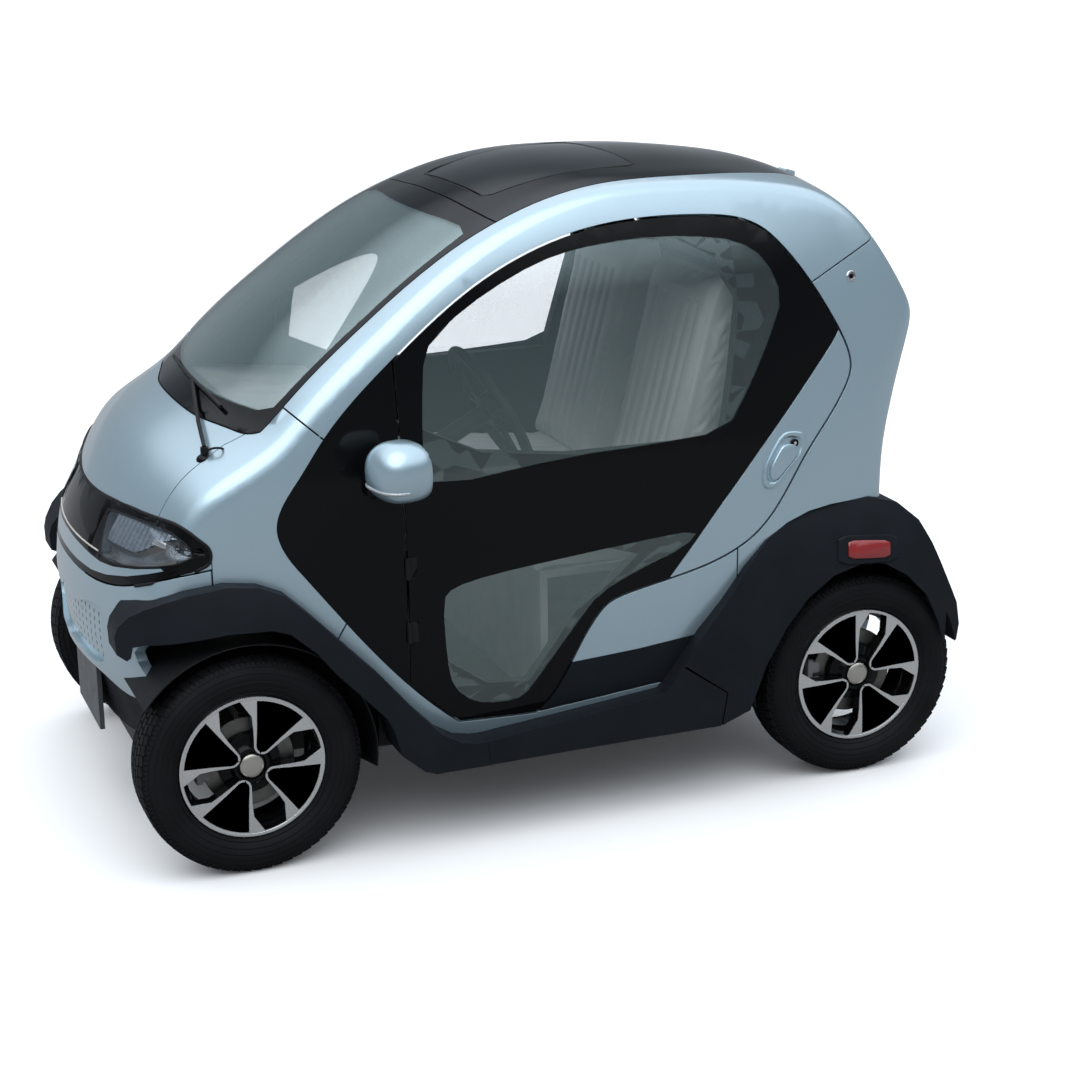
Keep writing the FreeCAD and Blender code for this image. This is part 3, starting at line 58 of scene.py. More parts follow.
SAME_POINT = 0.00002
CREASE_ANGLE = math.radians(24)


# Materials

class Finish:
    """A node material with a Principled shader and a few helpers to wire it."""

    def __init__(self, name, colour, roughness, metallic=0, **sockets):
        self.material = bpy.data.materials.new(name)
        self.material.use_nodes = True
        self.tree = self.material.node_tree
        self.shader = self.tree.nodes["Principled BSDF"]
        self.place = self.node("ShaderNodeTexCoord").outputs["Object"]
        self.set("Base Color", (*colour, 1))
        self.set("Roughness", roughness)
        self.set("Metallic", metallic)
        for socket, value in sockets.items():
            self.set(socket.replace("_", " "), value)

    def set(self, socket, value):
        self.shader.inputs[socket].default_value = value

    def node(self, kind, **values):
        made = self.tree.nodes.new(kind)
        for key, value in values.items():
            setattr(made, key, value)
        return made

    def link(self, source, target):
        self.tree.links.new(source, target)

    def noise(self, scale, detail=2):
        texture = self.node("ShaderNodeTexNoise")
        texture.inputs["Scale"].default_value = scale
        texture.inputs["Detail"].default_value = detail
        self.link(self.place, texture.inputs["Vector"])
        return texture.outputs["Fac"]

    def ramp(self, source, stops):
        made = self.node("ShaderNodeValToRGB")
        elements = made.color_ramp.elements
        while len(elements) < len(stops):
            elements.new(0.5)
        for element, (place, colour) in zip(elements, stops):
            element.position = place
            element.color = (*colour, 1)
        self.link(source, made.inputs["Fac"])
        return made.outputs["Color"]

    def colour(self, source, stops):
        self.link(self.ramp(source, stops), self.shader.inputs["Base Color"])

    def gloss(self, source, low, high):
        self.link(self.ramp(source, ((0.3, grey(low)), (0.7, grey(high)))), self.shader.inputs["Roughness"])

    def bump(self, source, strength, distance, radius=0):
        made = self.node("ShaderNodeBump")
        made.inputs["Strength"].default_value = strength
        made.inputs["Distance"].default_value = distance
        self.link(source, made.inputs["Height"])
        if radius:
            edge = self.node("ShaderNodeBevel")
            edge.inputs["Radius"].default_value = radius
            self.link(edge.outputs["Normal"], made.inputs["Normal"])
        self.link(made.outputs["Normal"], self.shader.inputs["Normal"])


def grey(value):
    return (value, value, value)


def paint_finish(name, colour, dark, metallic=0.7, flake_scale=1400):
    """Coated paint with fine flakes of a darker shade."""
    made = Finish(name, colour, 0.34, metallic, Coat_Weight=1, Coat_Roughness=0.03)
    made.colour(made.noise(flake_scale), ((0.35, dark), (0.65, colour)))
    made.bump(made.noise(flake_scale), 0.06, 0.0002, 0.0015)
    return made.material


def plastic_finish(name, colour, roughness, grain, depth=0.0001, spread=1.3, specular=0.4):
    """Grained plastic, leather or rubber with slight changes of shade and gloss."""
    made = Finish(name, colour, roughness, Specular_IOR_Level=specular)
    made.colour(made.noise(9), ((0.3, colour), (0.75, tuple(c * spread + 0.001 for c in colour))))
    made.gloss(made.noise(14), roughness - 0.05, roughness + 0.06)
    made.bump(made.noise(grain, 4), 0.3, depth, 0.001)
    return made.material


def gloss_finish(name, colour, low, high, specular, waves):
    """Smooth dark panel; waves are the scales of its gloss and of its bump, and the bump's height."""
    made = Finish(name, colour, (low + high) / 2, Specular_IOR_Level=specular)
    made.gloss(made.noise(waves[0]), low, high)
    made.bump(made.noise(waves[1]), 0.01, waves[2], 0.0015)
    return made.material


def glass_finish(name, colour, clear, edge, mirror=0.9):
    """Clear pane: it lets light through and mirrors more where it is seen at a slant."""
    made = Finish(name, colour, 0.02, mirror)
    slant = made.node("ShaderNodeLayerWeight")
    slant.inputs["Blend"].default_value = 0.35
    made.link(made.ramp(slant.outputs["Facing"], ((0.25, grey(clear)), (0.95, grey(edge)))),
              made.shader.inputs["Alpha"])
    return made.material


def metal_finish(name, colour, roughness, scale=60):
    """Bare metal with a fine, uneven polish."""
    made = Finish(name, colour, roughness, 1)
    made.gloss(made.noise(scale, 3), roughness * 0.8, roughness * 1.3)
    made.bump(made.noise(scale * 6), 0.05, 0.0001, 0.0006)
    return made.material


paint = paint_finish("silver_blue_paint", (0.46, 0.6, 0.67), (0.39, 0.52, 0.59))
black_cladding = plastic_finish("grained_black_cladding", (0.0075, 0.0095, 0.013), 0.55, 1500, specular=0.14)
gloss_black = gloss_finish("gloss_black_panel", (0.003, 0.003, 0.0035), 0.05, 0.1, 0.16, (3, 40, 0.0002))
matte_black = plastic_finish("matte_black_trim", (0.008, 0.008, 0.009), 0.5, 1500, 0.00005, specular=0.2)
frame_steel = plastic_finish("coated_frame_steel", (0.012, 0.012, 0.013), 0.45, 300)
housing = plastic_finish("cast_housing", (0.2, 0.2, 0.21), 0.5, 200)
cabin_plastic = plastic_finish("light_cabin_plastic", (0.42, 0.43, 0.42), 0.5, 1200)
grey_plastic = plastic_finish("grey_bracket_plastic", (0.08, 0.085, 0.09), 0.45, 800)
seat_leather = plastic_finish("light_seat_cover", (0.62, 0.64, 0.63), 0.42, 420, 0.0002, 1.08)
tyre_rubber = plastic_finish("tyre_rubber", (0.007, 0.007, 0.008), 0.62, 600, specular=0.12)
alloy = metal_finish("machined_alloy", (0.72, 0.72, 0.71), 0.28)
champagne = metal_finish("champagne_cap", (0.52, 0.5, 0.45), 0.35)
chrome = metal_finish("bright_trim", (0.75, 0.75, 0.76), 0.08)
disc_steel = metal_finish("ground_disc_steel", (0.16, 0.155, 0.145), 0.38)
window_glass = glass_finish("window_glass", (0.62, 0.78, 0.77), 0.15, 0.85)
lamp_bowl = plastic_finish("lamp_bowl_black", (0.02, 0.023, 0.028), 0.3, 300)
lamp_glass = glass_finish("lamp_lens", (0.62, 0.7, 0.78), 0.1, 0.5)
roof_glass = gloss_finish("dark_roof_glass", (0.006, 0.008, 0.008), 0.07, 0.14, 0.3, (5, 60, 0.0001))
# painted highlight: a light colour for the line where the lamp panel's lower edge catches the light
painted_highlight_edge = plastic_finish("painted_highlight_on_panel_edge", (0.5, 0.48, 0.44), 0.35, 900)
red_lens = paint_finish("red_lamp_lens", (0.3, 0.006, 0.008), (0.24, 0.004, 0.006), 0)
clear_led = paint_finish("clear_strip_lens", (0.55, 0.58, 0.6), (0.32, 0.35, 0.37), 0.4, 300)
bronze_reflector = metal_finish("bronze_reflector", (0.15, 0.135, 0.115), 0.34)
bright_reflector = metal_finish("bright_reflector", (0.85, 0.84, 0.8), 0.12)
rib_reflector = metal_finish("rib_reflector", (0.34, 0.38, 0.43), 0.25)

FINISH_OF_SLOT = {
    "body_paint": paint, "black_cladding": black_cladding, "grey_plastic": grey_plastic,
    "gloss_black": gloss_black, "lamp_glass": lamp_glass, "red_lamp": red_lens, "dark_glass": roof_glass,
    "glass": window_glass, "matte_black": matte_black, "frame_steel": frame_steel, "housing": housing,
    "cabin_plastic": cabin_plastic, "seat_cover": seat_leather, "tyre": tyre_rubber, "wheel_alloy": alloy,
}
for part in frame["record"]["subparts"]:
    carried = nodes[part["node"]]
    carried.data.materials.clear()
    carried.data.materials.append(FINISH_OF_SLOT[part["material_slot"]])
    for face in carried.data.polygons:
        face.use_smooth = True
    weld = carried.modifiers.new("weld", "WELD")
    weld.merge_threshold = SAME_POINT
    crease = carried.modifiers.new("crease", "EDGE_SPLIT")
    crease.split_angle = CREASE_ANGLE


# Ways of making a piece

def dressed(name, mesh, finishes, body, replaced=(), sharp=32):
    """Put a mesh in the scene as a named piece that rides on a body."""
    made = bpy.data.objects.new(name, mesh)
    scene.collection.objects.link(made)
    for finish in finishes:
        mesh.materials.append(finish)
    mesh.shade_smooth()
    mesh.set_sharp_from_angle(angle=math.radians(sharp))
    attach(made, body)
    if replaced:
        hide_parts(*replaced)
    return made


def piece(name, shape, finishes, body, replaced=(), sharp=32):
    mesh = bpy.data.meshes.new(name)
    shape.to_mesh(mesh)
    shape.free()
    return dressed(name, mesh, finishes, body, replaced, sharp)


def cad_copy(*names):
    """A merged copy of CAD pieces' meshes, in the frame's own place."""
    shape = bmesh.new()
    for name in names:
        mesh = nodes[name].data.copy()
        mesh.transform(nodes[name].matrix_world)
        shape.from_mesh(mesh)
        bpy.data.meshes.remove(mesh)
    bmesh.ops.remove_doubles(shape, verts=shape.verts, dist=SAME_POINT)
    return shape


def whole(shape):
    return shape.verts[:] + shape.edges[:] + shape.faces[:]


def softened(points, rounds=2):
    """Round the corners of a closed outline."""
    for _ in range(rounds):
        ends = zip(points, points[1:] + points[:1])
        points = [start.lerp(end, share) for start, end in ends for share in (0.25, 0.75)]
    return points


def inside(point, outline, across, upward):
    """Tell whether a point lies within an outline seen along one axis."""
    odd = False
    for start, end in zip(outline, outline[1:] + outline[:1]):
        if (start[upward] > point[upward]) != (end[upward] > point[upward]):
            share = (point[upward] - start[upward]) / (end[upward] - start[upward])
            if point[across] < start[across] + share * (end[across] - start[across]):
                odd = not odd
    return odd


def extent(points, across):
    """Least and greatest place of some points, seen across and upwards."""
    first = [point[across] for point in points]
    second = [point.z for point in points]
    return min(first), max(first), min(second), max(second)


def overlap(one, other):
    return one[0] <= other[1] and other[0] <= one[1] and one[2] <= other[3] and other[2] <= one[3]


def split_faces(shape, outline, axis):
    """Cut the faces that an outline crosses, seen along an axis; the other faces stay as they are."""
    across = 0 if axis == LEFT else 1
    reach = extent(outline, across)
    spread = {face: extent([corner.co for corner in face.verts], across) for face in shape.faces}
    spread = {face: place for face, place in spread.items() if overlap(place, reach)}
    for start, end in zip(outline, outline[1:] + outline[:1]):
        line = extent((start, end), across)
        crossed = [face for face, place in spread.items() if face.is_valid and overlap(place, line)]
        held = set(crossed)
        for face in crossed:
            held.update(face.verts)
            held.update(face.edges)
        made = bmesh.ops.bisect_plane(shape, geom=list(held), dist=0.000001, plane_co=start,
                                      plane_no=(end - start).cross(axis))
        for item in made["geom"]:
            if isinstance(item, bmesh.types.BMFace):
                spread[item] = extent([corner.co for corner in item.verts], across)


def closed_loop(shape, points):
    corners = [shape.verts.new(point) for point in points]
    return [shape.edges.new((a, b)) for a, b in zip(corners, corners[1:] + corners[:1])]


def between_loops(shape, *loops):
    """Join closed loops of equal length, one after the other, with faces."""
    rings = [closed_loop(shape, points) for points in loops]
    for first, second in zip(rings, rings[1:]):
        bmesh.ops.bridge_loops(shape, edges=first + second)


def spun(shape, profile, axis, steps, centre=(0, 0, 0)):
    """Turn an open profile fully round an axis."""
    corners = [shape.verts.new(point) for point in profile]
    edges = [shape.edges.new(pair) for pair in zip(corners, corners[1:])]
    bmesh.ops.spin(shape, geom=corners + edges, cent=centre, axis=axis, angle=FULL_TURN, steps=steps,
                   use_merge=True)
    bmesh.ops.remove_doubles(shape, verts=shape.verts, dist=0.00001)
    bmesh.ops.recalc_face_normals(shape, faces=shape.faces)


def box(shape, centre, size, turn=Matrix.Identity(3), edge=0, segments=2):
    """A block with bevelled edges."""
    place = Matrix.Translation(centre) @ turn.to_4x4() @ Matrix.Diagonal((*size, 1))
    made = bmesh.ops.create_cube(shape, size=1, matrix=place)
    if edge:
        lines = {line for corner in made["verts"] for line in corner.link_edges}
        bmesh.ops.bevel(shape, geom=list(lines), offset=edge, segments=segments, affect="EDGES",
                        profile=0.5, material=-1)


def tube(name, points, radius, finish, body, closed=False, order=3):
    """A round bar, seal or hose along a smooth line, made a mesh."""
    curve = bpy.data.curves.new(name, "CURVE")
    curve.dimensions = "3D"
    curve.bevel_depth = radius
    curve.bevel_resolution = 3
    curve.use_fill_caps = not closed
    line = curve.splines.new("NURBS")
    line.points.add(len(points) - 1)
    for knot, point in zip(line.points, points):
        knot.co = (*point, 1)
    line.use_cyclic_u = closed
    line.use_endpoint_u = not closed
    line.order_u = order
    line.resolution_u = 4
    holder = bpy.data.objects.new(name + "_line", curve)
    scene.collection.objects.link(holder)
    mesh = bpy.data.meshes.new_from_object(holder)
    bpy.data.objects.remove(holder)
    mesh.materials.clear()
    return dressed(name, mesh, [finish], body, sharp=60)


SEAM_STEPS = (0, 0.006, -0.006, 0.012, -0.012)
RAY_START = 3


def skin(*names):
    """A search tree of some CAD pieces, to set details on their surface."""
    shape = cad_copy(*names)
    tree = BVHTree.FromBMesh(shape)
    shape.free()
    return tree


def land(tree, point, direction):
    """Where a line through a point meets a surface, with its normal; in a seam the line steps aside."""
    for step in SEAM_STEPS:
        aside = Vector((step, step, step))
        place, normal, _, _ = tree.ray_cast(Vector(point) + aside - direction * RAY_START, direction)
        if place is not None:
            return place - aside + direction * aside.dot(direction), normal
    raise ValueError(f"no surface at {point}")



# Wheels: sizes in metres about the wheel's centre, the outer face along +Y

HALF_TRACK = 0.577
WHEEL_RADIUS = 0.2735
FACE_OUT = 0.061
FACE_LIP = 0.004
FACE_DEPTH = 0.034
LUG_CIRCLE = 0.058
POCKET_ANGLE = math.radians(22)
POCKET_RIM = 0.168
POCKET_BEND = 0.0165
KINK_ANGLE = math.radians(26.5)
KINK_RADIUS = 0.128
WINDOW_ANGLE = math.radians(36)
WINDOW_RIM = 0.1725
WINDOW_BEND = 0.0218
WELL_DEPTH = 0.012
ANGLE_OF_FIRST_POCKET = {"front": math.radians(62), "rear": math.radians(27)}
RING_PROFILE = (
    (0.1705, 0.052), (0.1705, 0.06), (0.1715, 0.0615), (0.1765, 0.0625), (0.1785, 0.062), (0.1795, 0.06),
    (0.18, 0.057))
BARREL_PROFILE = (
    (0.18, 0.059), (0.1843, 0.056), (0.1843, 0.049), (0.174, 0.044), (0.174, 0.03), (0.16, 0.022),
    (0.16, -0.045), (0.174, -0.053), (0.1843, -0.06), (0.182, -0.062), (0.17, -0.056), (0.156, -0.046),
    (0.156, 0.02), (0.164, 0.03), (0.169, 0.048), (0.171, 0.056))
HUB_PROFILE = (
    (0.0, 0.044), (0.033, 0.044), (0.036, 0.05), (0.044, 0.05), (0.052, 0.04), (0.074, 0.034),
    (0.078, 0.02), (0.07, 0.01), (0.0, 0.01))
CAP_PROFILE = (
    (0.0, 0.058), (0.01, 0.0578), (0.02, 0.0568), (0.027, 0.0548), (0.0295, 0.0525), (0.03, 0.044))
NUT_SEAT = 0.044
NUT_STEPS = (
    (6, 0.0098, 0.0098, 0.014, 0.0), (24, 0.0078, 0.004, 0.005, 0.0095), (24, 0.0125, 0.0125, 0.004, -0.008))
DISC_PROFILE = (
    (0.058, 0.01), (0.058, 0.017), (0.112, 0.017), (0.114, 0.015), (0.114, 0.012), (0.112, 0.01),
    (0.058, 0.01))


def polar(radius, angle, depth=0.0):
    """A point of the wheel's face: first pocket straight up, depth inwards from the face."""
    return Vector((radius * math.sin(angle), FACE_OUT - depth, radius * math.cos(angle)))


def pocket_loop(grow, kink, corner, bend_radius, depth, rim_radius):
    """Outline of a V-shaped pocket: rounded round its nut, wide at the ring."""
    arc = [polar(rim_radius, corner * share, depth) for share in (-1, -0.67, -0.33, 0, 0.33, 0.67, 1)]
    sides = [polar(KINK_RADIUS, kink, depth), polar(KINK_RADIUS * 0.75, kink * 0.93, depth)]
    turns = [math.radians(degrees) for degrees in range(110, 251, 20)]
    bend = [Vector((bend_radius * math.sin(turn), FACE_OUT - depth,
                    LUG_CIRCLE + grow + bend_radius * math.cos(turn))) for turn in turns]
    return arc + sides + bend + [Vector((-p.x, p.y, p.z)) for p in reversed(sides)]


def side_angle(radius):
    """Angle of a pocket's straight side at a radius."""
    start = Vector((POCKET_BEND, LUG_CIRCLE))
    end = Vector((POCKET_RIM * math.sin(POCKET_ANGLE), POCKET_RIM * math.cos(POCKET_ANGLE)))
    share = (radius - start.length) / (end.length - start.length)
    spot = start.lerp(end, share)
    return math.atan2(spot.x, spot.y)


def lowered(points, drop):
    return [point - LEFT * drop for point in points]


def turned_profile(shape, profile, steps):
    spun(shape, [Vector((radius, out, 0)) for radius, out in profile], LEFT, steps)


def rim_shapes():
    """Bright face, black body and fittings of one wheel."""
    side = side_angle(KINK_RADIUS)
    inner = pocket_loop(0, side, POCKET_ANGLE, POCKET_BEND, 0, POCKET_RIM)
    outer = pocket_loop(0, KINK_ANGLE, WINDOW_ANGLE, WINDOW_BEND, 0, WINDOW_RIM)
    well = pocket_loop(0.001, side * 0.96, POCKET_ANGLE * 0.97, 0.0148, 0.023, 0.166)
    gap = pocket_loop(0.026, side * 0.62, POCKET_ANGLE * 0.8, 0.007, 0.025, 0.158)
    bright, black, cap, nuts = (bmesh.new() for _ in range(4))
    between_loops(bright, lowered(outer, FACE_LIP), outer, inner, lowered(inner, FACE_LIP))
    between_loops(black, lowered(outer, FACE_DEPTH), lowered(outer, FACE_LIP))
    between_loops(black, lowered(inner, FACE_LIP), well, gap, lowered(gap, WELL_DEPTH))
    for shape in (bright, black):
        first = whole(shape)
        for quarter in (1, 2, 3):
            made = bmesh.ops.duplicate(shape, geom=first)
            moved = [item for item in made["geom"] if isinstance(item, bmesh.types.BMVert)]
            turn = Matrix.Rotation(quarter * math.pi / 2, 3, "Y")
            bmesh.ops.rotate(shape, cent=(0, 0, 0), matrix=turn, verts=moved)
    turned_profile(bright, RING_PROFILE, 96)
    turned_profile(black, BARREL_PROFILE, 96)
    turned_profile(black, HUB_PROFILE, 64)
    turned_profile(cap, CAP_PROFILE, 48)
    outwards = Matrix.Rotation(-math.pi / 2, 4, "X")
    for quarter in range(4):
        seat = Matrix.Rotation(quarter * math.pi / 2, 4, "Y") @ Matrix.Translation((0, NUT_SEAT, LUG_CIRCLE))
        for segments, radius, end_radius, length, out in NUT_STEPS:
            bmesh.ops.create_cone(nuts, cap_ends=True, segments=segments, radius1=radius, radius2=end_radius,
                                  depth=length, matrix=seat @ Matrix.Translation((0, out, 0)) @ outwards)
    return bright, black, cap, nuts


CARCASS_HALF = (
    (0.18, 0.056), (0.184, 0.06), (0.19, 0.066), (0.1925, 0.065), (0.196, 0.069), (0.205, 0.0735),
    (0.208, 0.073), (0.211, 0.075), (0.22, 0.0768), (0.2225, 0.0757), (0.226, 0.0769), (0.235, 0.0762),
    (0.239, 0.0745), (0.242, 0.075), (0.25, 0.0712), (0.258, 0.0655), (0.265, 0.057), (0.2672, 0.05),
    (0.268, 0.0))
PITCHES = 64
TREAD_ROWS = ((0.0, 0.018, 0.0, 0.2706), (0.0245, 0.02, 0.3, 0.2704), (0.049, 0.019, 0.0, 0.2685))
TREAD_DEPTH = 0.005
SHOULDER_ROW = 0.04
SHOULDER_OUT = 0.064
SHOULDER_RADIUS = 0.26
SHOULDER_SIZE = (0.014, 0.0022)


def tyre_shape():
    """Carcass with ribbed sidewalls and a block tread."""
    shape = bmesh.new()
    turned_profile(shape, CARCASS_HALF + tuple((r, -out) for r, out in reversed(CARCASS_HALF[:-1])), 120)
    pitch = FULL_TURN * WHEEL_RADIUS / PITCHES
    for number in range(PITCHES):
        for offset, width, shift, radius in TREAD_ROWS:
            for side in ((1,) if offset == 0 else (1, -1)):
                turn = Matrix.Rotation((number + shift + (side < 0) * 0.5) * FULL_TURN / PITCHES, 4, "Y")
                lean = Matrix.Rotation(math.radians(14) * side, 4, "Z") if offset else Matrix.Identity(4)
                tilt = Matrix.Rotation(-side * math.radians(11) * (offset > SHOULDER_ROW), 4, "X")
                size = Matrix.Diagonal((pitch * 0.84, width, TREAD_DEPTH, 1))
                place = turn @ Matrix.Translation((0, offset * side, radius)) @ tilt @ lean @ size
                bmesh.ops.create_cube(shape, size=1, matrix=place)
    for number in range(PITCHES * 2):
        for side in (1, -1):
            turn = Matrix.Rotation(number * FULL_TURN / PITCHES / 2, 4, "Y")
            lean = Matrix.Rotation(-side * math.radians(46), 4, "X")
            size = Matrix.Diagonal((pitch / 2 * 0.62, *SHOULDER_SIZE, 1))
            place = turn @ Matrix.Translation((0, side * SHOULDER_OUT, SHOULDER_RADIUS)) @ lean @ size
            bmesh.ops.create_cube(shape, size=1, matrix=place)
    return shape


def brake_shapes():
    """Disc and caliper, as (centre, size, edge, segments) blocks at the disc's rear edge."""
    disc, caliper = bmesh.new(), bmesh.new()
    turned_profile(disc, DISC_PROFILE, 72)
    for centre, size, edge, segments in (
            ((0.108, -0.004, -0.02), (0.034, 0.044, 0.036), 0.007, 3), ((0.108, -0.004, 0.02),
            (0.034, 0.044, 0.036), 0.007, 3), ((0.122, -0.005, 0), (0.016, 0.05, 0.09), 0.005, 2),
            ((0.1, -0.026, 0), (0.06, 0.012, 0.08), 0.004, 2)):
        box(caliper, centre, size, edge=edge, segments=segments)
    return disc, caliper


def place_copy(shape, matrix, name, finishes, body, replaced=(), sharp=32):
    """A copy of a shape at a place; a mirrored copy gets its faces turned back."""
    made = shape.copy()
    bmesh.ops.transform(made, matrix=matrix, verts=made.verts)
    if matrix.determinant() < 0:
        bmesh.ops.reverse_faces(made, faces=made.faces)
    return piece(name, made, finishes, body, replaced, sharp)


bright_face, black_body, centre_cap, lug_nuts = rim_shapes()
tread_tyre = tyre_shape()
brake_disc, brake_caliper = brake_shapes()
for end, axle in ENDS:
    for side, sign in SIDES:
        where = f"{end}_{side}"
        wheel = f"wheel_{where}"
        spot = Matrix.Translation((axle, sign * HALF_TRACK, WHEEL_RADIUS)) @ Matrix.Diagonal((1, sign, 1, 1))
        turned = spot @ Matrix.Rotation(ANGLE_OF_FIRST_POCKET[end] - math.pi / 2, 4, "Y")
        place_copy(bright_face, turned, f"rim_face_{where}", [alloy], wheel,
                   [f"rim_{where}"], 25)
        place_copy(black_body, turned, f"rim_body_{where}", [gloss_black], wheel, (), 25)
        place_copy(centre_cap, turned, f"wheel_cap_{where}", [champagne], wheel)
        place_copy(lug_nuts, turned, f"wheel_nuts_{where}", [chrome], wheel)
        place_copy(tread_tyre, spot, f"road_tyre_{where}", [tyre_rubber], wheel,
                   [f"tyre_{where}"], 30)
        place_copy(brake_disc, spot, f"brake_disc_{where}", [disc_steel], wheel)
        carrier = f"steering_{side}" if end == "front" else "body"
        place_copy(brake_caliper, spot, f"brake_caliper_{where}", [housing], carrier)


# Glass with its black borders

def outline(pairs, across, rounds=2):
    """A closed outline of (across, z) pairs, seen along Y or along X, with its corners rounded."""
    corners = [Vector((a, 0, z)) if across == 0 else Vector((0, a, z)) for a, z in pairs]
    return softened(corners, rounds)


def mirrored_pairs(pairs):
    return list(pairs) + [(-a, z) for a, z in reversed(pairs)]


def glazed(node, windows, across, body):
    """A pane in place of its CAD node: black border, clear inside the window outlines."""
    shape = cad_copy(node)
    axis = LEFT if across == 0 else FORWARD
    for window in windows:
        split_faces(shape, window, axis)
    for face in shape.faces:
        middle = face.calc_center_median()
        face.material_index = int(any(inside(middle, window, across, 2) for window in windows))
    return piece(node + "_pane", shape, [gloss_black, window_glass], body, [node], 24)


UPPER_WINDOW = outline((
    (0.323, 1.232), (0.263, 1.29), (0.15, 1.358), (0.015, 1.416), (-0.098, 1.442), (-0.237, 1.455),
    (-0.388, 1.452), (-0.521, 1.433), (-0.595, 1.383), (-0.63, 1.29), (-0.583, 1.193), (-0.515, 1.076),
    (-0.445, 0.974), (-0.223, 0.961), (-0.024, 0.955), (0.317, 0.913), (0.347, 0.966), (0.339, 1.103)),
    0, 1)
LOWER_WINDOW = outline((
    (0.314, 0.634), (0.287, 0.663), (0.191, 0.684), (0.008, 0.704), (-0.192, 0.723), (-0.363, 0.735),
    (-0.328, 0.696), (-0.192, 0.648), (-0.091, 0.601), (-0.036, 0.536), (0.072, 0.393), (0.103, 0.352),
    (0.158, 0.342), (0.234, 0.353), (0.289, 0.401), (0.305, 0.481)), 0, 1)
FRONT_WINDOW = outline(mirrored_pairs((
    (0.25, 1.085), (0.462, 1.092), (0.468, 1.15), (0.462, 1.22), (0.452, 1.29), (0.436, 1.38), (0.42, 1.45),
    (0.4, 1.486), (0.2, 1.494))), 1, 1)
REAR_WINDOW = outline(mirrored_pairs((
    (0.15, 1.05), (0.31, 1.055), (0.322, 1.18), (0.312, 1.33), (0.29, 1.425), (0.15, 1.44))), 1, 2)
for side, sign in SIDES:
    glazed(f"door_glass_{side}", [UPPER_WINDOW, LOWER_WINDOW], 0, f"door_{side}")
glazed("windshield", [FRONT_WINDOW], 1, "body")
glazed("hatch_glass", [REAR_WINDOW], 1, "hatch")


# Plates and seals that follow the body's surface

def raised_plate(name, tree, points, direction, layers, finish, body, sharp=32, caps=(0, -1)):
    """A plate set on a surface: its outline at each (scale, lift off the surface), capped at its ends."""
    middle = sum(points, Vector()) / len(points)
    shape = bmesh.new()
    rings = []
    for scale, lift in layers:
        landed = [land(tree, middle.lerp(point, scale), direction) for point in points]
        rings.append(closed_loop(shape, [place + normal * lift for place, normal in landed]))
    for first, second in zip(rings, rings[1:]):
        bmesh.ops.bridge_loops(shape, edges=first + second)
    for end in caps:
        bmesh.ops.contextual_create(shape, geom=rings[end])
    bmesh.ops.recalc_face_normals(shape, faces=shape.faces)
    return piece(name, shape, [finish], body, (), sharp)


def round_outline(centre, radius, steps=24, across=0):
    """A circle round a centre, seen along Y or along X."""
    sideways = FORWARD if across == 0 else LEFT
    turns = [FULL_TURN * step / steps for step in range(steps)]
    return [Vector(centre) + (sideways * math.cos(a) + UP * math.sin(a)) * radius for a in turns]


def flipped(points, sign):
    return [Vector((p.x, p.y * sign, p.z)) for p in points]


HANDLE = outline((
    (-0.626, 0.958), (-0.668, 0.948), (-0.666, 0.904), (-0.611, 0.857), (-0.574, 0.817), (-0.542, 0.82),
    (-0.54, 0.865), (-0.571, 0.915), (-0.598, 0.951)), 0, 1)
MARKER = outline((
    (-0.776, 0.659), (-0.836, 0.654), (-0.898, 0.646), (-0.897, 0.626), (-0.895, 0.604), (-0.835, 0.608),
    (-0.773, 0.614), (-0.775, 0.638)), 0, 1)
MARKER_HOUSING = outline((
    (-0.748, 0.674), (-0.836, 0.668), (-0.925, 0.658), (-0.925, 0.626), (-0.922, 0.59), (-0.835, 0.593),
    (-0.745, 0.6), (-0.746, 0.638)), 0, 1)
GRIP_MIDDLE = Vector((-0.595, 0, 0.875))
GRIP_SHARE = 0.62
BUTTON_PLACE = (-0.634, 0, 0.926)
CHARGE_LOCK_PLACE = (-0.838, 0, 1.32)
sides_skin = skin("door_strap_left", "door_strap_right", "rear_quarters", "rear_fenders")
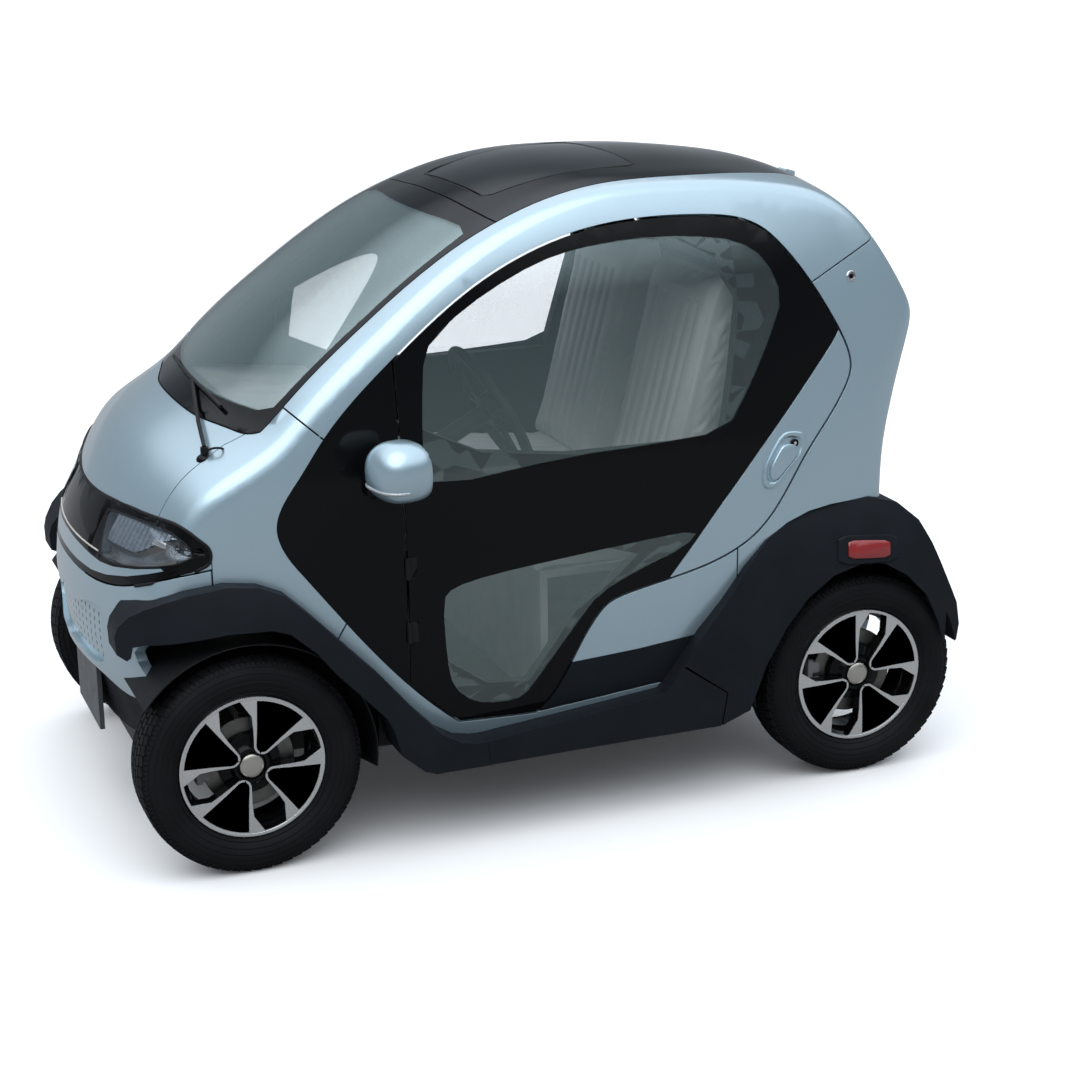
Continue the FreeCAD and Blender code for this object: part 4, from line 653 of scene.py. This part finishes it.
for side, sign in SIDES:
    inward = LEFT * -sign
    door = f"door_{side}"
    raised_plate(f"handle_plate_{side}", sides_skin, flipped(HANDLE, sign), inward,
                 ((1.0, -0.002), (1.0, 0.0028), (0.96, 0.006), (0.84, 0.006), (0.76, 0.0008)), paint, door)
    grip = [GRIP_MIDDLE.lerp(point, GRIP_SHARE) for point in HANDLE]
    raised_plate(f"handle_grip_{side}", sides_skin, flipped(grip, sign), inward,
                 ((1.0, -0.002), (1.0, 0.0072), (0.9, 0.0092)), paint, door)
    raised_plate(f"door_button_{side}", sides_skin, round_outline(BUTTON_PLACE, 0.0105), inward,
                 ((1.0, 0.0), (1.0, 0.0055), (0.85, 0.0068), (0.6, 0.0066)), gloss_black, door)
    raised_plate(f"door_button_centre_{side}", sides_skin, round_outline(BUTTON_PLACE, 0.004), inward,
                 ((1.0, 0.0), (1.0, 0.0075)), chrome, door)
    raised_plate(f"charge_lock_ring_{side}", sides_skin, round_outline(CHARGE_LOCK_PLACE, 0.0135), inward,
                 ((1.0, -0.001), (1.0, 0.002), (0.88, 0.0032), (0.7, 0.003), (0.62, 0.0008)), chrome,
                 "body")
    raised_plate(f"charge_lock_core_{side}", sides_skin, round_outline(CHARGE_LOCK_PLACE, 0.006), inward,
                 ((1.0, -0.001), (1.0, 0.0022), (0.7, 0.0026)), gloss_black, "body")
    raised_plate(f"marker_housing_{side}", sides_skin, flipped(MARKER_HOUSING, sign), inward,
                 ((1.0, -0.002), (0.99, 0.003), (0.93, 0.006), (0.8, 0.006)), black_cladding, "body")
    raised_plate(f"marker_lens_{side}", sides_skin, flipped(MARKER, sign), inward,
                 ((1.0, 0.003), (1.0, 0.0085), (0.94, 0.01)), red_lens, "body", 60)


# Roof seal

roof_skin = skin("roof_panel", "sunroof", "roof_rails", "windshield", "hood")
LID_HALF = [
    (0.052, 0.0), (0.051, 0.12), (0.049, 0.215), (0.03, 0.243), (-0.06, 0.25), (-0.2, 0.259),
    (-0.32, 0.266), (-0.352, 0.262), (-0.366, 0.235), (-0.367, 0.12)]
LID_BACK = -0.367
SEAL_RADIUS = 0.0034
SEAL_SUNK = 0.0014
lid_edge = [Vector((x, y, 0)) for x, y in LID_HALF + [(LID_BACK, 0)] + [(x, -y) for x, y in LID_HALF[:0:-1]]]
seal = [land(roof_skin, point, -UP) for point in lid_edge]
tube("sunroof_seal", [place - normal * SEAL_SUNK for place, normal in seal], SEAL_RADIUS, matte_black, "body",
     closed=True)


# Nose: lamp lenses, gloss band, and under each lens a crescent of body paint as a painted highlight, cut into
# the panels they cross

LENS = outline((
    (0.22, 0.835), (0.29, 0.839), (0.356, 0.843), (0.43, 0.846), (0.492, 0.847), (0.536, 0.843),
    (0.565, 0.831), (0.576, 0.809), (0.576, 0.788), (0.56, 0.774), (0.47, 0.751), (0.383, 0.736),
    (0.305, 0.731), (0.268, 0.741), (0.245, 0.785)), 1, 1)
BAND = outline(mirrored_pairs((
    (0.08, 0.85), (0.207, 0.855), (0.338, 0.86), (0.45, 0.863), (0.524, 0.866), (0.566, 0.857),
    (0.582, 0.826), (0.587, 0.795), (0.585, 0.764), (0.552, 0.736), (0.491, 0.714), (0.405, 0.689),
    (0.31, 0.674), (0.197, 0.67), (0.08, 0.676))), 1, 1)
# outline of the crescent under the lens that gets body paint: a painted highlight on the band
PAINTED_HIGHLIGHT_HALF = outline((
    (0.0, 0.731), (0.146, 0.727), (0.224, 0.723), (0.282, 0.721), (0.353, 0.726), (0.446, 0.742),
    (0.519, 0.759), (0.566, 0.771), (0.544, 0.759), (0.503, 0.744), (0.425, 0.72), (0.326, 0.7),
    (0.242, 0.691), (0.128, 0.689), (0.0, 0.69)), 1, 0)
NOSE_NODES = ("headlamps", "lamp_band", "front_bumper", "hood", "front_fenders")
NOSE_START = 0.84
LENS_PAIR = [LENS, flipped(LENS, -1)]
PAINTED_HIGHLIGHT_PAIR = [PAINTED_HIGHLIGHT_HALF, flipped(PAINTED_HIGHLIGHT_HALF, -1)]
nose_skin = skin(*NOSE_NODES)
for node in NOSE_NODES:
    shape = cad_copy(node)
    for region in LENS_PAIR + [BAND] + PAINTED_HIGHLIGHT_PAIR:
        split_faces(shape, region, FORWARD)
    for face in shape.faces:
        middle = face.calc_center_median()
        if middle.x < NOSE_START:
            continue
        if any(inside(middle, region, 1, 2) for region in LENS_PAIR):
            face.material_index = 2
        # faces of the crescent under each lens get body paint, a painted highlight on the gloss band
        elif any(inside(middle, region, 1, 2) for region in PAINTED_HIGHLIGHT_PAIR):
            face.material_index = 0
        elif inside(middle, BAND, 1, 2):
            face.material_index = 1
    piece(node + "_panel", shape, [paint, gloss_black, lamp_glass], "body", [node], 24)


def behind(y, z, depth):
    """A place that lies a depth behind the nose's surface."""
    place, normal = land(nose_skin, (0, y, z), -FORWARD)
    return place - normal * depth


def facing(y, z):
    """Turn whose local X looks out of the nose's surface."""
    normal = land(nose_skin, (0, y, z), -FORWARD)[1]
    return normal.to_track_quat("X", "Z").to_matrix()


# Inside the lamps: a fluted reflector over a bowl, parted by a dark brow, with a projector and diodes

REFLECTOR_START = 0.252
REFLECTOR_WIDTH = 0.304
REFLECTOR_STEPS = 30
REFLECTOR_ROWS = 6
BROW_START = 0.38
BROW_RUN = 0.15
BROW_HEIGHT = 0.773
BROW_RISE = 0.056
BROW_GAP = 0.003
PROJECTOR_PLACE = (0.485, 0.812)
PROJECTOR_SIZE = (0.006, 0.056, 0.014)
SOCKET_PLACE = (0.54, 0.808)
DIODE_RADIUS = 0.0022
DIODE_HEIGHT = 0.813


def brow_height(y):
    share = min(1, max(0, (y - BROW_START) / BROW_RUN))
    return BROW_HEIGHT + BROW_RISE * share * share * (3 - 2 * share)


def under_brow(y):
    return brow_height(y) - BROW_GAP


def lens_top(y):
    return 0.838 - 0.8 * max(0, y - 0.5) ** 1.6


def lens_foot(y):
    return 0.736 + 0.85 * max(0, y - 0.34) ** 2


def flute_depth(number, share):
    return 0.013 + 0.004 * (number % 2) + 0.004 * share


def bowl_depth(number, share):
    return 0.016 + 0.012 * math.sin(math.pi * share)


def lamp_sheet(shape, sign, low, high, depth):
    """A reflector behind the lens between two heights, its depth set by step and height share."""
    columns = []
    for number in range(REFLECTOR_STEPS + 1):
        y = REFLECTOR_START + REFLECTOR_WIDTH * number / REFLECTOR_STEPS
        column = []
        for row in range(REFLECTOR_ROWS + 1):
            share = row / REFLECTOR_ROWS
            z = low(y) + (high(y) - low(y)) * share
            column.append(shape.verts.new(behind(sign * y, z, depth(number, share))))
        columns.append(column)
    for first, second in zip(columns, columns[1:]):
        for row in range(REFLECTOR_ROWS):
            corners = (first[row], second[row], second[row + 1], first[row + 1])
            shape.faces.new(corners if sign > 0 else corners[::-1])


ribs, bright, bronze, dots, sockets = (bmesh.new() for _ in range(5))
for side, sign in SIDES:
    raised_plate(f"lamp_bowl_{side}", nose_skin, flipped(LENS, sign), -FORWARD,
                 ((1.03, -0.005), (1.0, -0.034), (0.8, -0.04), (0.6, -0.04), (0.4, -0.04), (0.2, -0.04)),
                 lamp_bowl, "body", caps=(-1,))
    lamp_sheet(ribs, sign, brow_height, lens_top, flute_depth)
    lamp_sheet(bronze, sign, lens_foot, under_brow, bowl_depth)
    y, z = sign * PROJECTOR_PLACE[0], PROJECTOR_PLACE[1]
    box(bright, behind(y, z, 0.011), PROJECTOR_SIZE, facing(y, z), 0.002)
    y, z = sign * SOCKET_PLACE[0], SOCKET_PLACE[1]
    ring_place = Matrix.Translation(behind(y, z, 0.014)) @ facing(y, z).to_4x4()
    bmesh.ops.create_cone(sockets, cap_ends=True, segments=28, radius1=0.0115, radius2=0.0095, depth=0.008,
                          matrix=ring_place @ Matrix.Rotation(math.pi / 2, 4, "Y"))
    for number in range(5):
        y = sign * (0.551 + 0.0045 * number)
        bmesh.ops.create_icosphere(dots, subdivisions=2, radius=DIODE_RADIUS,
                                   matrix=Matrix.Translation(behind(y, DIODE_HEIGHT, 0.009)))
piece("lamp_ribs", ribs, [rib_reflector], "body")
piece("lamp_reflectors", bronze, [bronze_reflector], "body")
piece("lamp_projectors", bright, [bright_reflector], "body")
piece("lamp_diodes", dots, [clear_led], "body")
piece("lamp_sockets", sockets, [lamp_bowl], "body")


# Edges of the band: a painted highlight along the panel's lower line, the black rims, the cover of the band's
# outer ends

PANEL_EDGE_HEIGHT = 0.741
PANEL_EDGE_HALF = 0.26
RIM_FOOT = 0.7
END_MIDDLE = Vector((0, 0.47, 0.79))
END_ANGLES = [math.radians(-22 + 5 * step) for step in range(38)]
END_SHARES = (0.02, 0.35, 0.68, 1.0)
END_LIFT = 0.0012
edge_line = [PANEL_EDGE_HALF - 0.04 * step for step in range(14)]
# a light tube along the panel's lower edge: a painted highlight where the edge catches the light
tube("lamp_panel_edge_painted_highlight", [behind(y, PANEL_EDGE_HEIGHT, -0.0006) for y in edge_line], 0.0022, painted_highlight_edge,
     "body")
rim_line = [behind(point.y, point.z, -0.0008) for point in BAND if point.z > RIM_FOOT]
top_rim = sorted(rim_line, key=lambda point: math.atan2(point.y, point.z - RIM_FOOT))
tube("lamp_band_rim", top_rim, 0.0042, matte_black, "body")


def reach_of(edge, middle, angle):
    """The place where an outline, seen along X, is met from a middle point at an angle."""
    aim = Vector((0, math.cos(angle), math.sin(angle)))
    near, far = 0.0, 0.6
    for _ in range(16):
        half = (near + far) / 2
        if inside(middle + aim * half, edge, 1, 2):
            near = half
        else:
            far = half
    return middle + aim * near


for side, sign in SIDES:
    end_cover = bmesh.new()
    rows = []
    for share in END_SHARES:
        row = [reach_of(LENS, END_MIDDLE, a).lerp(reach_of(BAND, END_MIDDLE, a), share) for a in END_ANGLES]
        rows.append([end_cover.verts.new(behind(point.y * sign, point.z, -END_LIFT)) for point in row])
    for first, second in zip(rows, rows[1:]):
        for step in range(len(END_ANGLES) - 1):
            end_cover.faces.new((first[step], first[step + 1], second[step + 1], second[step]))
    if sign < 0:
        bmesh.ops.reverse_faces(end_cover, faces=end_cover.faces)
    piece(f"lamp_band_end_{side}", end_cover, [gloss_black], "body", (), 60)
for side, sign in SIDES:
    lens_rim = [behind(point.y * sign, point.z, -0.0004) for point in LENS]
    tube(f"lens_rim_{side}", lens_rim, 0.0024, matte_black, "body", closed=True)


# Mirrors: a blocky head cut flat for its pane, a lamp strip round its front, a foot

HEAD_PLACE_X = 0.46
HEAD_PLACE_Y = 0.803
HEAD_PLACE_Z = 1.011
HEAD_HALF = (0.074, 0.08, 0.07)
HEAD_BLOCKY = 0.72
HEAD_TURN = math.radians(10)
PANE_CUT = -0.046
PANE_EDGE = 0.006
STRIP_RADIUS = 0.0042
STRIP_HEIGHT = -0.034
STRIP_HALF = (0.0745, 0.0805)
STRIP_WAIST = 0.93
FOOT_SIZE = (0.078, 0.11, 0.03)


def blocky(value):
    return math.copysign(abs(value) ** HEAD_BLOCKY, value)


for side, sign in SIDES:
    head = bmesh.new()
    bmesh.ops.create_uvsphere(head, u_segments=40, v_segments=24, radius=1)
    for corner in head.verts:
        x, y, z = (blocky(value) for value in corner.co)
        taper = 1 - 0.16 * max(0, z) ** 2
        corner.co = (x * HEAD_HALF[0] * taper, y * HEAD_HALF[1] * taper, z * HEAD_HALF[2])
    bmesh.ops.bisect_plane(head, geom=whole(head), plane_co=(PANE_CUT, 0, 0), plane_no=(-1, 0, 0),
                           clear_outer=True)
    rim = [edge for edge in head.edges if edge.is_boundary]
    pane = bmesh.ops.contextual_create(head, geom=rim)["faces"]
    bmesh.ops.inset_region(head, faces=pane, thickness=PANE_EDGE, depth=-PANE_EDGE)
    for face in head.faces:
        behind_cut = face.calc_center_median().x < PANE_CUT + PANE_EDGE
        face.material_index = 1 if behind_cut and face.normal.x < -0.5 else 0
    for face in pane:
        face.material_index = 2
    place = Matrix.Translation((HEAD_PLACE_X, sign * HEAD_PLACE_Y, HEAD_PLACE_Z))
    place = place @ Matrix.Diagonal((1, sign, 1, 1)) @ Matrix.Rotation(HEAD_TURN, 4, "Z")
    bmesh.ops.transform(head, matrix=place, verts=head.verts)
    bmesh.ops.recalc_face_normals(head, faces=head.faces)
    replaced = ["mirrors"] if sign > 0 else []
    piece(f"mirror_head_{side}", head, [paint, gloss_black, bright_reflector], "body",
          replaced, 40)
    strip = []
    for step in range(15):
        angle = math.radians(-58 + 10 * step)
        x, y = blocky(STRIP_WAIST * math.cos(angle)), blocky(STRIP_WAIST * math.sin(angle))
        strip.append(place @ Vector((x * STRIP_HALF[0], y * STRIP_HALF[1], STRIP_HEIGHT)))
    tube(f"mirror_lamp_{side}", strip, STRIP_RADIUS, clear_led, "body")
    foot = bmesh.new()
    box(foot, (0, 0, 0), FOOT_SIZE, edge=0.012, segments=4)
    for corner in foot.verts:
        share = corner.co.y / FOOT_SIZE[1] + 0.5
        corner.co.x *= 1.15 - 0.45 * share
        corner.co.z += 0.05 * share * share
        corner.co.z *= 1.25 - 0.3 * share
    place = Matrix.Translation((0.452, sign * 0.698, 0.925)) @ Matrix.Diagonal((1, sign, 1, 1))
    bmesh.ops.transform(foot, matrix=place, verts=foot.verts)
    bmesh.ops.recalc_face_normals(foot, faces=foot.faces)
    piece(f"mirror_foot_{side}", foot, [matte_black], "body", (), 60)


# Seats

COVER_VOXEL = 0.007
COVER_PRESSURE = 4
LAST_FRAME = 20


def padded_cover(name, node, sign, rise, channels, finish):
    """One seat's foam swollen under its cover, with sewn channels across it."""
    shape = cad_copy(node)
    loose = [v for v in shape.verts if v.co.y * sign < 0]
    bmesh.ops.delete(shape, geom=loose, context="VERTS")
    bmesh.ops.recalc_face_normals(shape, faces=shape.faces)
    mesh = bpy.data.meshes.new(name)
    shape.to_mesh(mesh)
    shape.free()
    made = bpy.data.objects.new(name, mesh)
    scene.collection.objects.link(made)
    remesh = made.modifiers.new("even_mesh", "REMESH")
    remesh.mode = "VOXEL"
    remesh.voxel_size = COVER_VOXEL
    settle(made)
    rest = [v.co.copy() for v in made.data.vertices]
    cloth = made.modifiers.new("swell", "CLOTH")
    cloth.settings.use_pressure = True
    cloth.settings.uniform_pressure_force = COVER_PRESSURE
    cloth.settings.effector_weights.gravity = 0
    cloth.settings.quality = 4
    for step in range(1, LAST_FRAME + 1):
        scene.frame_set(step)
    settle(made)
    scene.frame_set(1)
    for vertex, start in zip(made.data.vertices, rest):
        offset = vertex.co - start
        if offset.length > rise:
            vertex.co = start + offset.normalized() * rise
    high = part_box(node)[1]
    for vertex in made.data.vertices:
        channels(vertex, high)
    smooth = made.modifiers.new("smooth", "SUBSURF")
    smooth.levels = smooth.render_levels = 1
    made.data.materials.append(finish)
    made.data.shade_smooth()
    return made


def settle(made):
    """Apply a piece's modifiers to its mesh."""
    shown = made.evaluated_get(bpy.context.evaluated_depsgraph_get())
    mesh = bpy.data.meshes.new_from_object(shown)
    made.modifiers.clear()
    made.data = mesh


SEAT_MIDDLE = 0.272
SEAT_HALF = 0.2
SEWN_LINES = (-0.62, -0.37, -0.12, 0.12, 0.37, 0.62)
SEWN_WIDTH = 0.035
SEWN_DEPTH = 0.009
PLAIN_EDGE = {"seat_backs": 0.09, "seat_cushions": 0.06}
COVER_RISE = 0.012


def sewn(vertex):
    """Draw a point of a cover in where it lies near a sewn line."""
    across = (abs(vertex.co.y) - SEAT_MIDDLE) / SEAT_HALF
    share = max(math.exp(-((across - line) / SEWN_WIDTH) ** 2) for line in SEWN_LINES)
    vertex.co -= vertex.normal * share * SEWN_DEPTH


def back_channels(vertex, high):
    if vertex.normal.x > 0.25 and vertex.co.z < high[2] - PLAIN_EDGE["seat_backs"]:
        sewn(vertex)


def cushion_channels(vertex, high):
    if vertex.normal.z > 0.25 and vertex.co.x < high[0] - PLAIN_EDGE["seat_cushions"]:
        sewn(vertex)


for side, sign in SIDES:
    for name, node, channels in ((f"seat_back_cover_{side}", "seat_backs", back_channels),
                                 (f"seat_cushion_cover_{side}", "seat_cushions", cushion_channels)):
        cover = padded_cover(name, node, sign, COVER_RISE, channels, seat_leather)
        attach(cover, "body")
        if sign > 0:
            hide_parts(node)


# Dashboard: air vents with their slats, and the screen before the driver

VENT_SIZE = (0.014, 0.11, 0.048)
VENT_HEIGHT = 0.9
SLAT_SIZE = (0.003, 0.092, 0.003)
SCREEN_PLACE = (0, 0.265, 0.975)
SCREEN_CASE = (0.05, 0.24, 0.08)
SCREEN_SIZE = (0.002, 0.2, 0.056)
dash_skin = skin("dashboard")
fittings, screens = bmesh.new(), bmesh.new()
for y in (-0.42, 0.08, 0.42):
    place, normal = land(dash_skin, (0, y, VENT_HEIGHT), FORWARD)
    turn = normal.to_track_quat("X", "Z").to_matrix()
    box(fittings, place, VENT_SIZE, turn, 0.008, 3)
    for row in (-0.012, 0, 0.012):
        box(screens, place + turn @ Vector((0.008, 0, row)), SLAT_SIZE, turn)
place, normal = land(dash_skin, SCREEN_PLACE, FORWARD)
turn = normal.to_track_quat("X", "Z").to_matrix()
box(fittings, place, SCREEN_CASE, turn, 0.014, 4)
box(screens, place + turn @ Vector((0.0255, 0, 0)), SCREEN_SIZE, turn, 0.004)
piece("dash_fittings", fittings, [matte_black], "body")
piece("dash_screens", screens, [roof_glass], "body")


# Wiper's domed foot, and the washer hose that loops round it

DOME_RADIUS = 0.021
HOSE_RADIUS = 0.0028
HOSE_ROUTE = (
    (0.004, 0.004, 0.014), (-0.006, 0.02, 0.03), (-0.026, 0.03, 0.034), (-0.044, 0.022, 0.026),
    (-0.052, 0.014, 0.008), (-0.053, 0.012, -0.004))
wiper_foot = land(nose_skin, (0.829, 0.43, 1.0), -UP)[0]
dome = bmesh.new()
bmesh.ops.create_uvsphere(dome, u_segments=28, v_segments=16, radius=DOME_RADIUS,
                          matrix=Matrix.Translation(wiper_foot) @ Matrix.Diagonal((1, 1, 0.7, 1)))
piece("wiper_dome", dome, [gloss_black], "body")
tube("washer_hose", [wiper_foot + Vector(point) for point in HOSE_ROUTE], HOSE_RADIUS, matte_black, "body")


# Wheel arch liners: a shell over each wheel with a wall on its inner side

LINER_RADIUS = 0.309
LINER_THICKNESS = 0.003
LINER_INNER = 0.352
LINER_OUTER = 0.646
LINER_HOLE = 0.185
LINER_ARC = {"front": (36, 188), "rear": (-8, 144)}
LINER_STEPS = 24
LINER_SECTION = (
    (LINER_HOLE, LINER_INNER), (LINER_RADIUS, LINER_INNER), (LINER_RADIUS, LINER_OUTER),
    (LINER_RADIUS + LINER_THICKNESS, LINER_OUTER),
    (LINER_RADIUS + LINER_THICKNESS, LINER_INNER - LINER_THICKNESS),
    (LINER_HOLE, LINER_INNER - LINER_THICKNESS))
for end, axle in ENDS:
    start, stop = (math.radians(angle) for angle in LINER_ARC[end])
    turns = [start + (stop - start) * step / LINER_STEPS for step in range(LINER_STEPS + 1)]
    for side, sign in SIDES:
        liner = bmesh.new()
        rings = [[Vector((axle + r * math.cos(a), sign * y, WHEEL_RADIUS + r * math.sin(a)))
                  for r, y in LINER_SECTION] for a in turns]
        between_loops(liner, *rings)
        for ring in (liner.verts[:len(LINER_SECTION)], liner.verts[-len(LINER_SECTION):]):
            bmesh.ops.contextual_create(liner, geom=ring)
        bmesh.ops.recalc_face_normals(liner, faces=liner.faces)
        piece(f"arch_liner_{end}_{side}", liner, [matte_black], "body")


# Suspension springs and dampers

FOOT_BEHIND = {"front": 0.045, "rear": 0.05}
FOOT_PLACE = (0.418, 0.3)
HEAD_LEAN = 0.02
HEAD_PLACE = (0.392, 0.56)
COIL_RADIUS = 0.03
COIL_WIRE = 0.0055
COIL_TURNS = 6
STEPS_A_TURN = 16
COIL_START = 0.22
COIL_SHARE = 0.7
for end, axle in ENDS:
    for side, sign in SIDES:
        foot = Vector((axle + FOOT_BEHIND[end], sign * FOOT_PLACE[0], FOOT_PLACE[1]))
        head = Vector((foot.x - HEAD_LEAN, sign * HEAD_PLACE[0], HEAD_PLACE[1]))
        rod_line = head - foot
        across = rod_line.cross(FORWARD).normalized()
        beside = rod_line.cross(across).normalized()
        steps = COIL_TURNS * STEPS_A_TURN
        coil = []
        for step in range(steps + 1):
            turn = FULL_TURN * step / STEPS_A_TURN
            ring = across * math.cos(turn) + beside * math.sin(turn)
            coil.append(foot.lerp(head, COIL_START + COIL_SHARE * step / steps) + ring * COIL_RADIUS)
        tube(f"spring_{end}_{side}", coil, COIL_WIRE, frame_steel, "body")
        tube(f"damper_{end}_{side}", [foot, foot.lerp(head, 0.55)], 0.018, housing, "body",
             order=2)
        tube(f"damper_rod_{end}_{side}", [foot.lerp(head, 0.5), head], 0.008, chrome, "body",
             order=2)


# Rear: handle, reflectors, blank plate field

TAIL_HANDLE = outline((
    (-0.15, 0.93), (0.15, 0.93), (0.16, 0.915), (0.14, 0.9), (-0.14, 0.9), (-0.16, 0.915)), 1, 1)
PLATE_FIELD = outline((
    (-0.165, 0.69), (0.165, 0.69), (0.165, 0.59), (0.165, 0.51), (-0.165, 0.51), (-0.165, 0.59)), 1, 1)
REFLECTOR_PLACE = (0.33, 0.6)
REFLECTOR_RADIUS = 0.026
rear_skin = skin("rear_hatch", "rear_bumper", "hatch_glass")
raised_plate("tail_handle", rear_skin, TAIL_HANDLE, FORWARD,
             ((1.0, -0.002), (1.0, 0.01), (0.94, 0.014), (0.8, 0.014)), gloss_black, "hatch")
raised_plate("rear_plate_field", rear_skin, PLATE_FIELD, FORWARD,
             ((1.0, -0.002), (1.0, 0.004), (0.97, 0.006), (0.93, 0.006), (0.92, 0.003), (0.7, 0.003),
              (0.45, 0.003), (0.2, 0.003)), grey_plastic, "body")
for side, sign in SIDES:
    middle = (0, sign * REFLECTOR_PLACE[0], REFLECTOR_PLACE[1])
    raised_plate(f"rear_reflector_{side}", rear_skin, round_outline(middle, REFLECTOR_RADIUS, 28, 1), FORWARD,
                 ((1.0, -0.001), (1.0, 0.006), (0.9, 0.009), (0.4, 0.01)), red_lens, "body", 50)


# Camera at the photograph's angle, studio light, floor

LENS_LENGTH = 75.22
SENSOR_WIDTH = 36
CAMERA_PLACE = (1.9437, 5.5711, 2.3467)
CAMERA_RIGHT = (-0.93268, 0.3605, -0.01195)
CAMERA_UP = (-0.11485, -0.26541, 0.95727)
CAMERA_BACK = (0.34192, 0.8942, 0.28895)
SKY_STRENGTH = 1.5
SKY_STOPS = (
    (0.0, (0.2, 0.22, 0.24)), (0.36, (0.1, 0.12, 0.14)), (0.6, (0.86, 0.92, 1.0)),
    (1.0, (0.86, 0.91, 0.97)))
SUN_POWER = 1.2
SUN_SPREAD = math.radians(70)
SUN_AIM = (-0.3, -0.35, -1)
FLOOR_RADIUS = 60
FLOOR_SEEN = 0.95
FLOOR_MIRRORED = 0.3
FLOOR_LIFT = 0.03

camera_data = bpy.data.cameras.new("camera")
camera_data.lens = LENS_LENGTH
camera_data.sensor_width = SENSOR_WIDTH
camera = bpy.data.objects.new("camera", camera_data)
camera_turn = Matrix((CAMERA_RIGHT, CAMERA_UP, CAMERA_BACK)).transposed().to_4x4()
camera.matrix_world = Matrix.Translation(CAMERA_PLACE) @ camera_turn
scene.collection.objects.link(camera)
scene.camera = camera
scene.view_settings.view_transform = "Standard"

world = bpy.data.worlds.new("studio")
scene.world = world
world.use_nodes = True
links = world.node_tree.links
make = world.node_tree.nodes.new
studio_light = world.node_tree.nodes["Background"]
studio_light.inputs["Strength"].default_value = SKY_STRENGTH
height = make("ShaderNodeSeparateXYZ")
links.new(make("ShaderNodeTexCoord").outputs["Generated"], height.inputs["Vector"])
sky = make("ShaderNodeValToRGB")
while len(sky.color_ramp.elements) < len(SKY_STOPS):
    sky.color_ramp.elements.new(0.5)
for element, (place, colour) in zip(sky.color_ramp.elements, SKY_STOPS):
    element.position = place
    element.color = (*colour, 1)
links.new(height.outputs["Z"], sky.inputs["Fac"])
links.new(sky.outputs["Color"], studio_light.inputs["Color"])
white_view = make("ShaderNodeBackground")
white_view.inputs["Color"].default_value = (1, 1, 1, 1)
seen = make("ShaderNodeLightPath")
choice = make("ShaderNodeMixShader")
links.new(seen.outputs["Is Camera Ray"], choice.inputs["Fac"])
links.new(studio_light.outputs["Background"], choice.inputs[1])
links.new(white_view.outputs["Background"], choice.inputs[2])
links.new(choice.outputs["Shader"], world.node_tree.nodes["World Output"].inputs["Surface"])

floor_mesh = bpy.data.meshes.new("floor")
floor_shape = bmesh.new()
bmesh.ops.create_circle(floor_shape, cap_ends=True, segments=64, radius=FLOOR_RADIUS)
floor_shape.to_mesh(floor_mesh)
floor_shape.free()
floor = bpy.data.objects.new("floor", floor_mesh)
scene.collection.objects.link(floor)
floor_finish = Finish("pale_floor", grey(FLOOR_SEEN), 0.9, Specular_IOR_Level=0.1)
floor_view = floor_finish.node("ShaderNodeLightPath").outputs["Is Camera Ray"]
floor_finish.colour(floor_view, ((0.0, grey(FLOOR_MIRRORED)), (1.0, grey(FLOOR_SEEN))))
floor_finish.set("Emission Color", (1, 1, 1, 1))
lift = floor_finish.node("ShaderNodeMath", operation="MULTIPLY")
lift.inputs[1].default_value = FLOOR_LIFT
floor_finish.link(floor_view, lift.inputs[0])
floor_finish.link(lift.outputs["Value"], floor_finish.shader.inputs["Emission Strength"])
floor_mesh.materials.append(floor_finish.material)

sun_data = bpy.data.lights.new("broad_light", "SUN")
sun_data.energy = SUN_POWER
sun_data.angle = SUN_SPREAD
sun = bpy.data.objects.new("broad_light", sun_data)
sun.rotation_euler = Vector(SUN_AIM).to_track_quat("-Z", "Y").to_euler()
scene.collection.objects.link(sun)
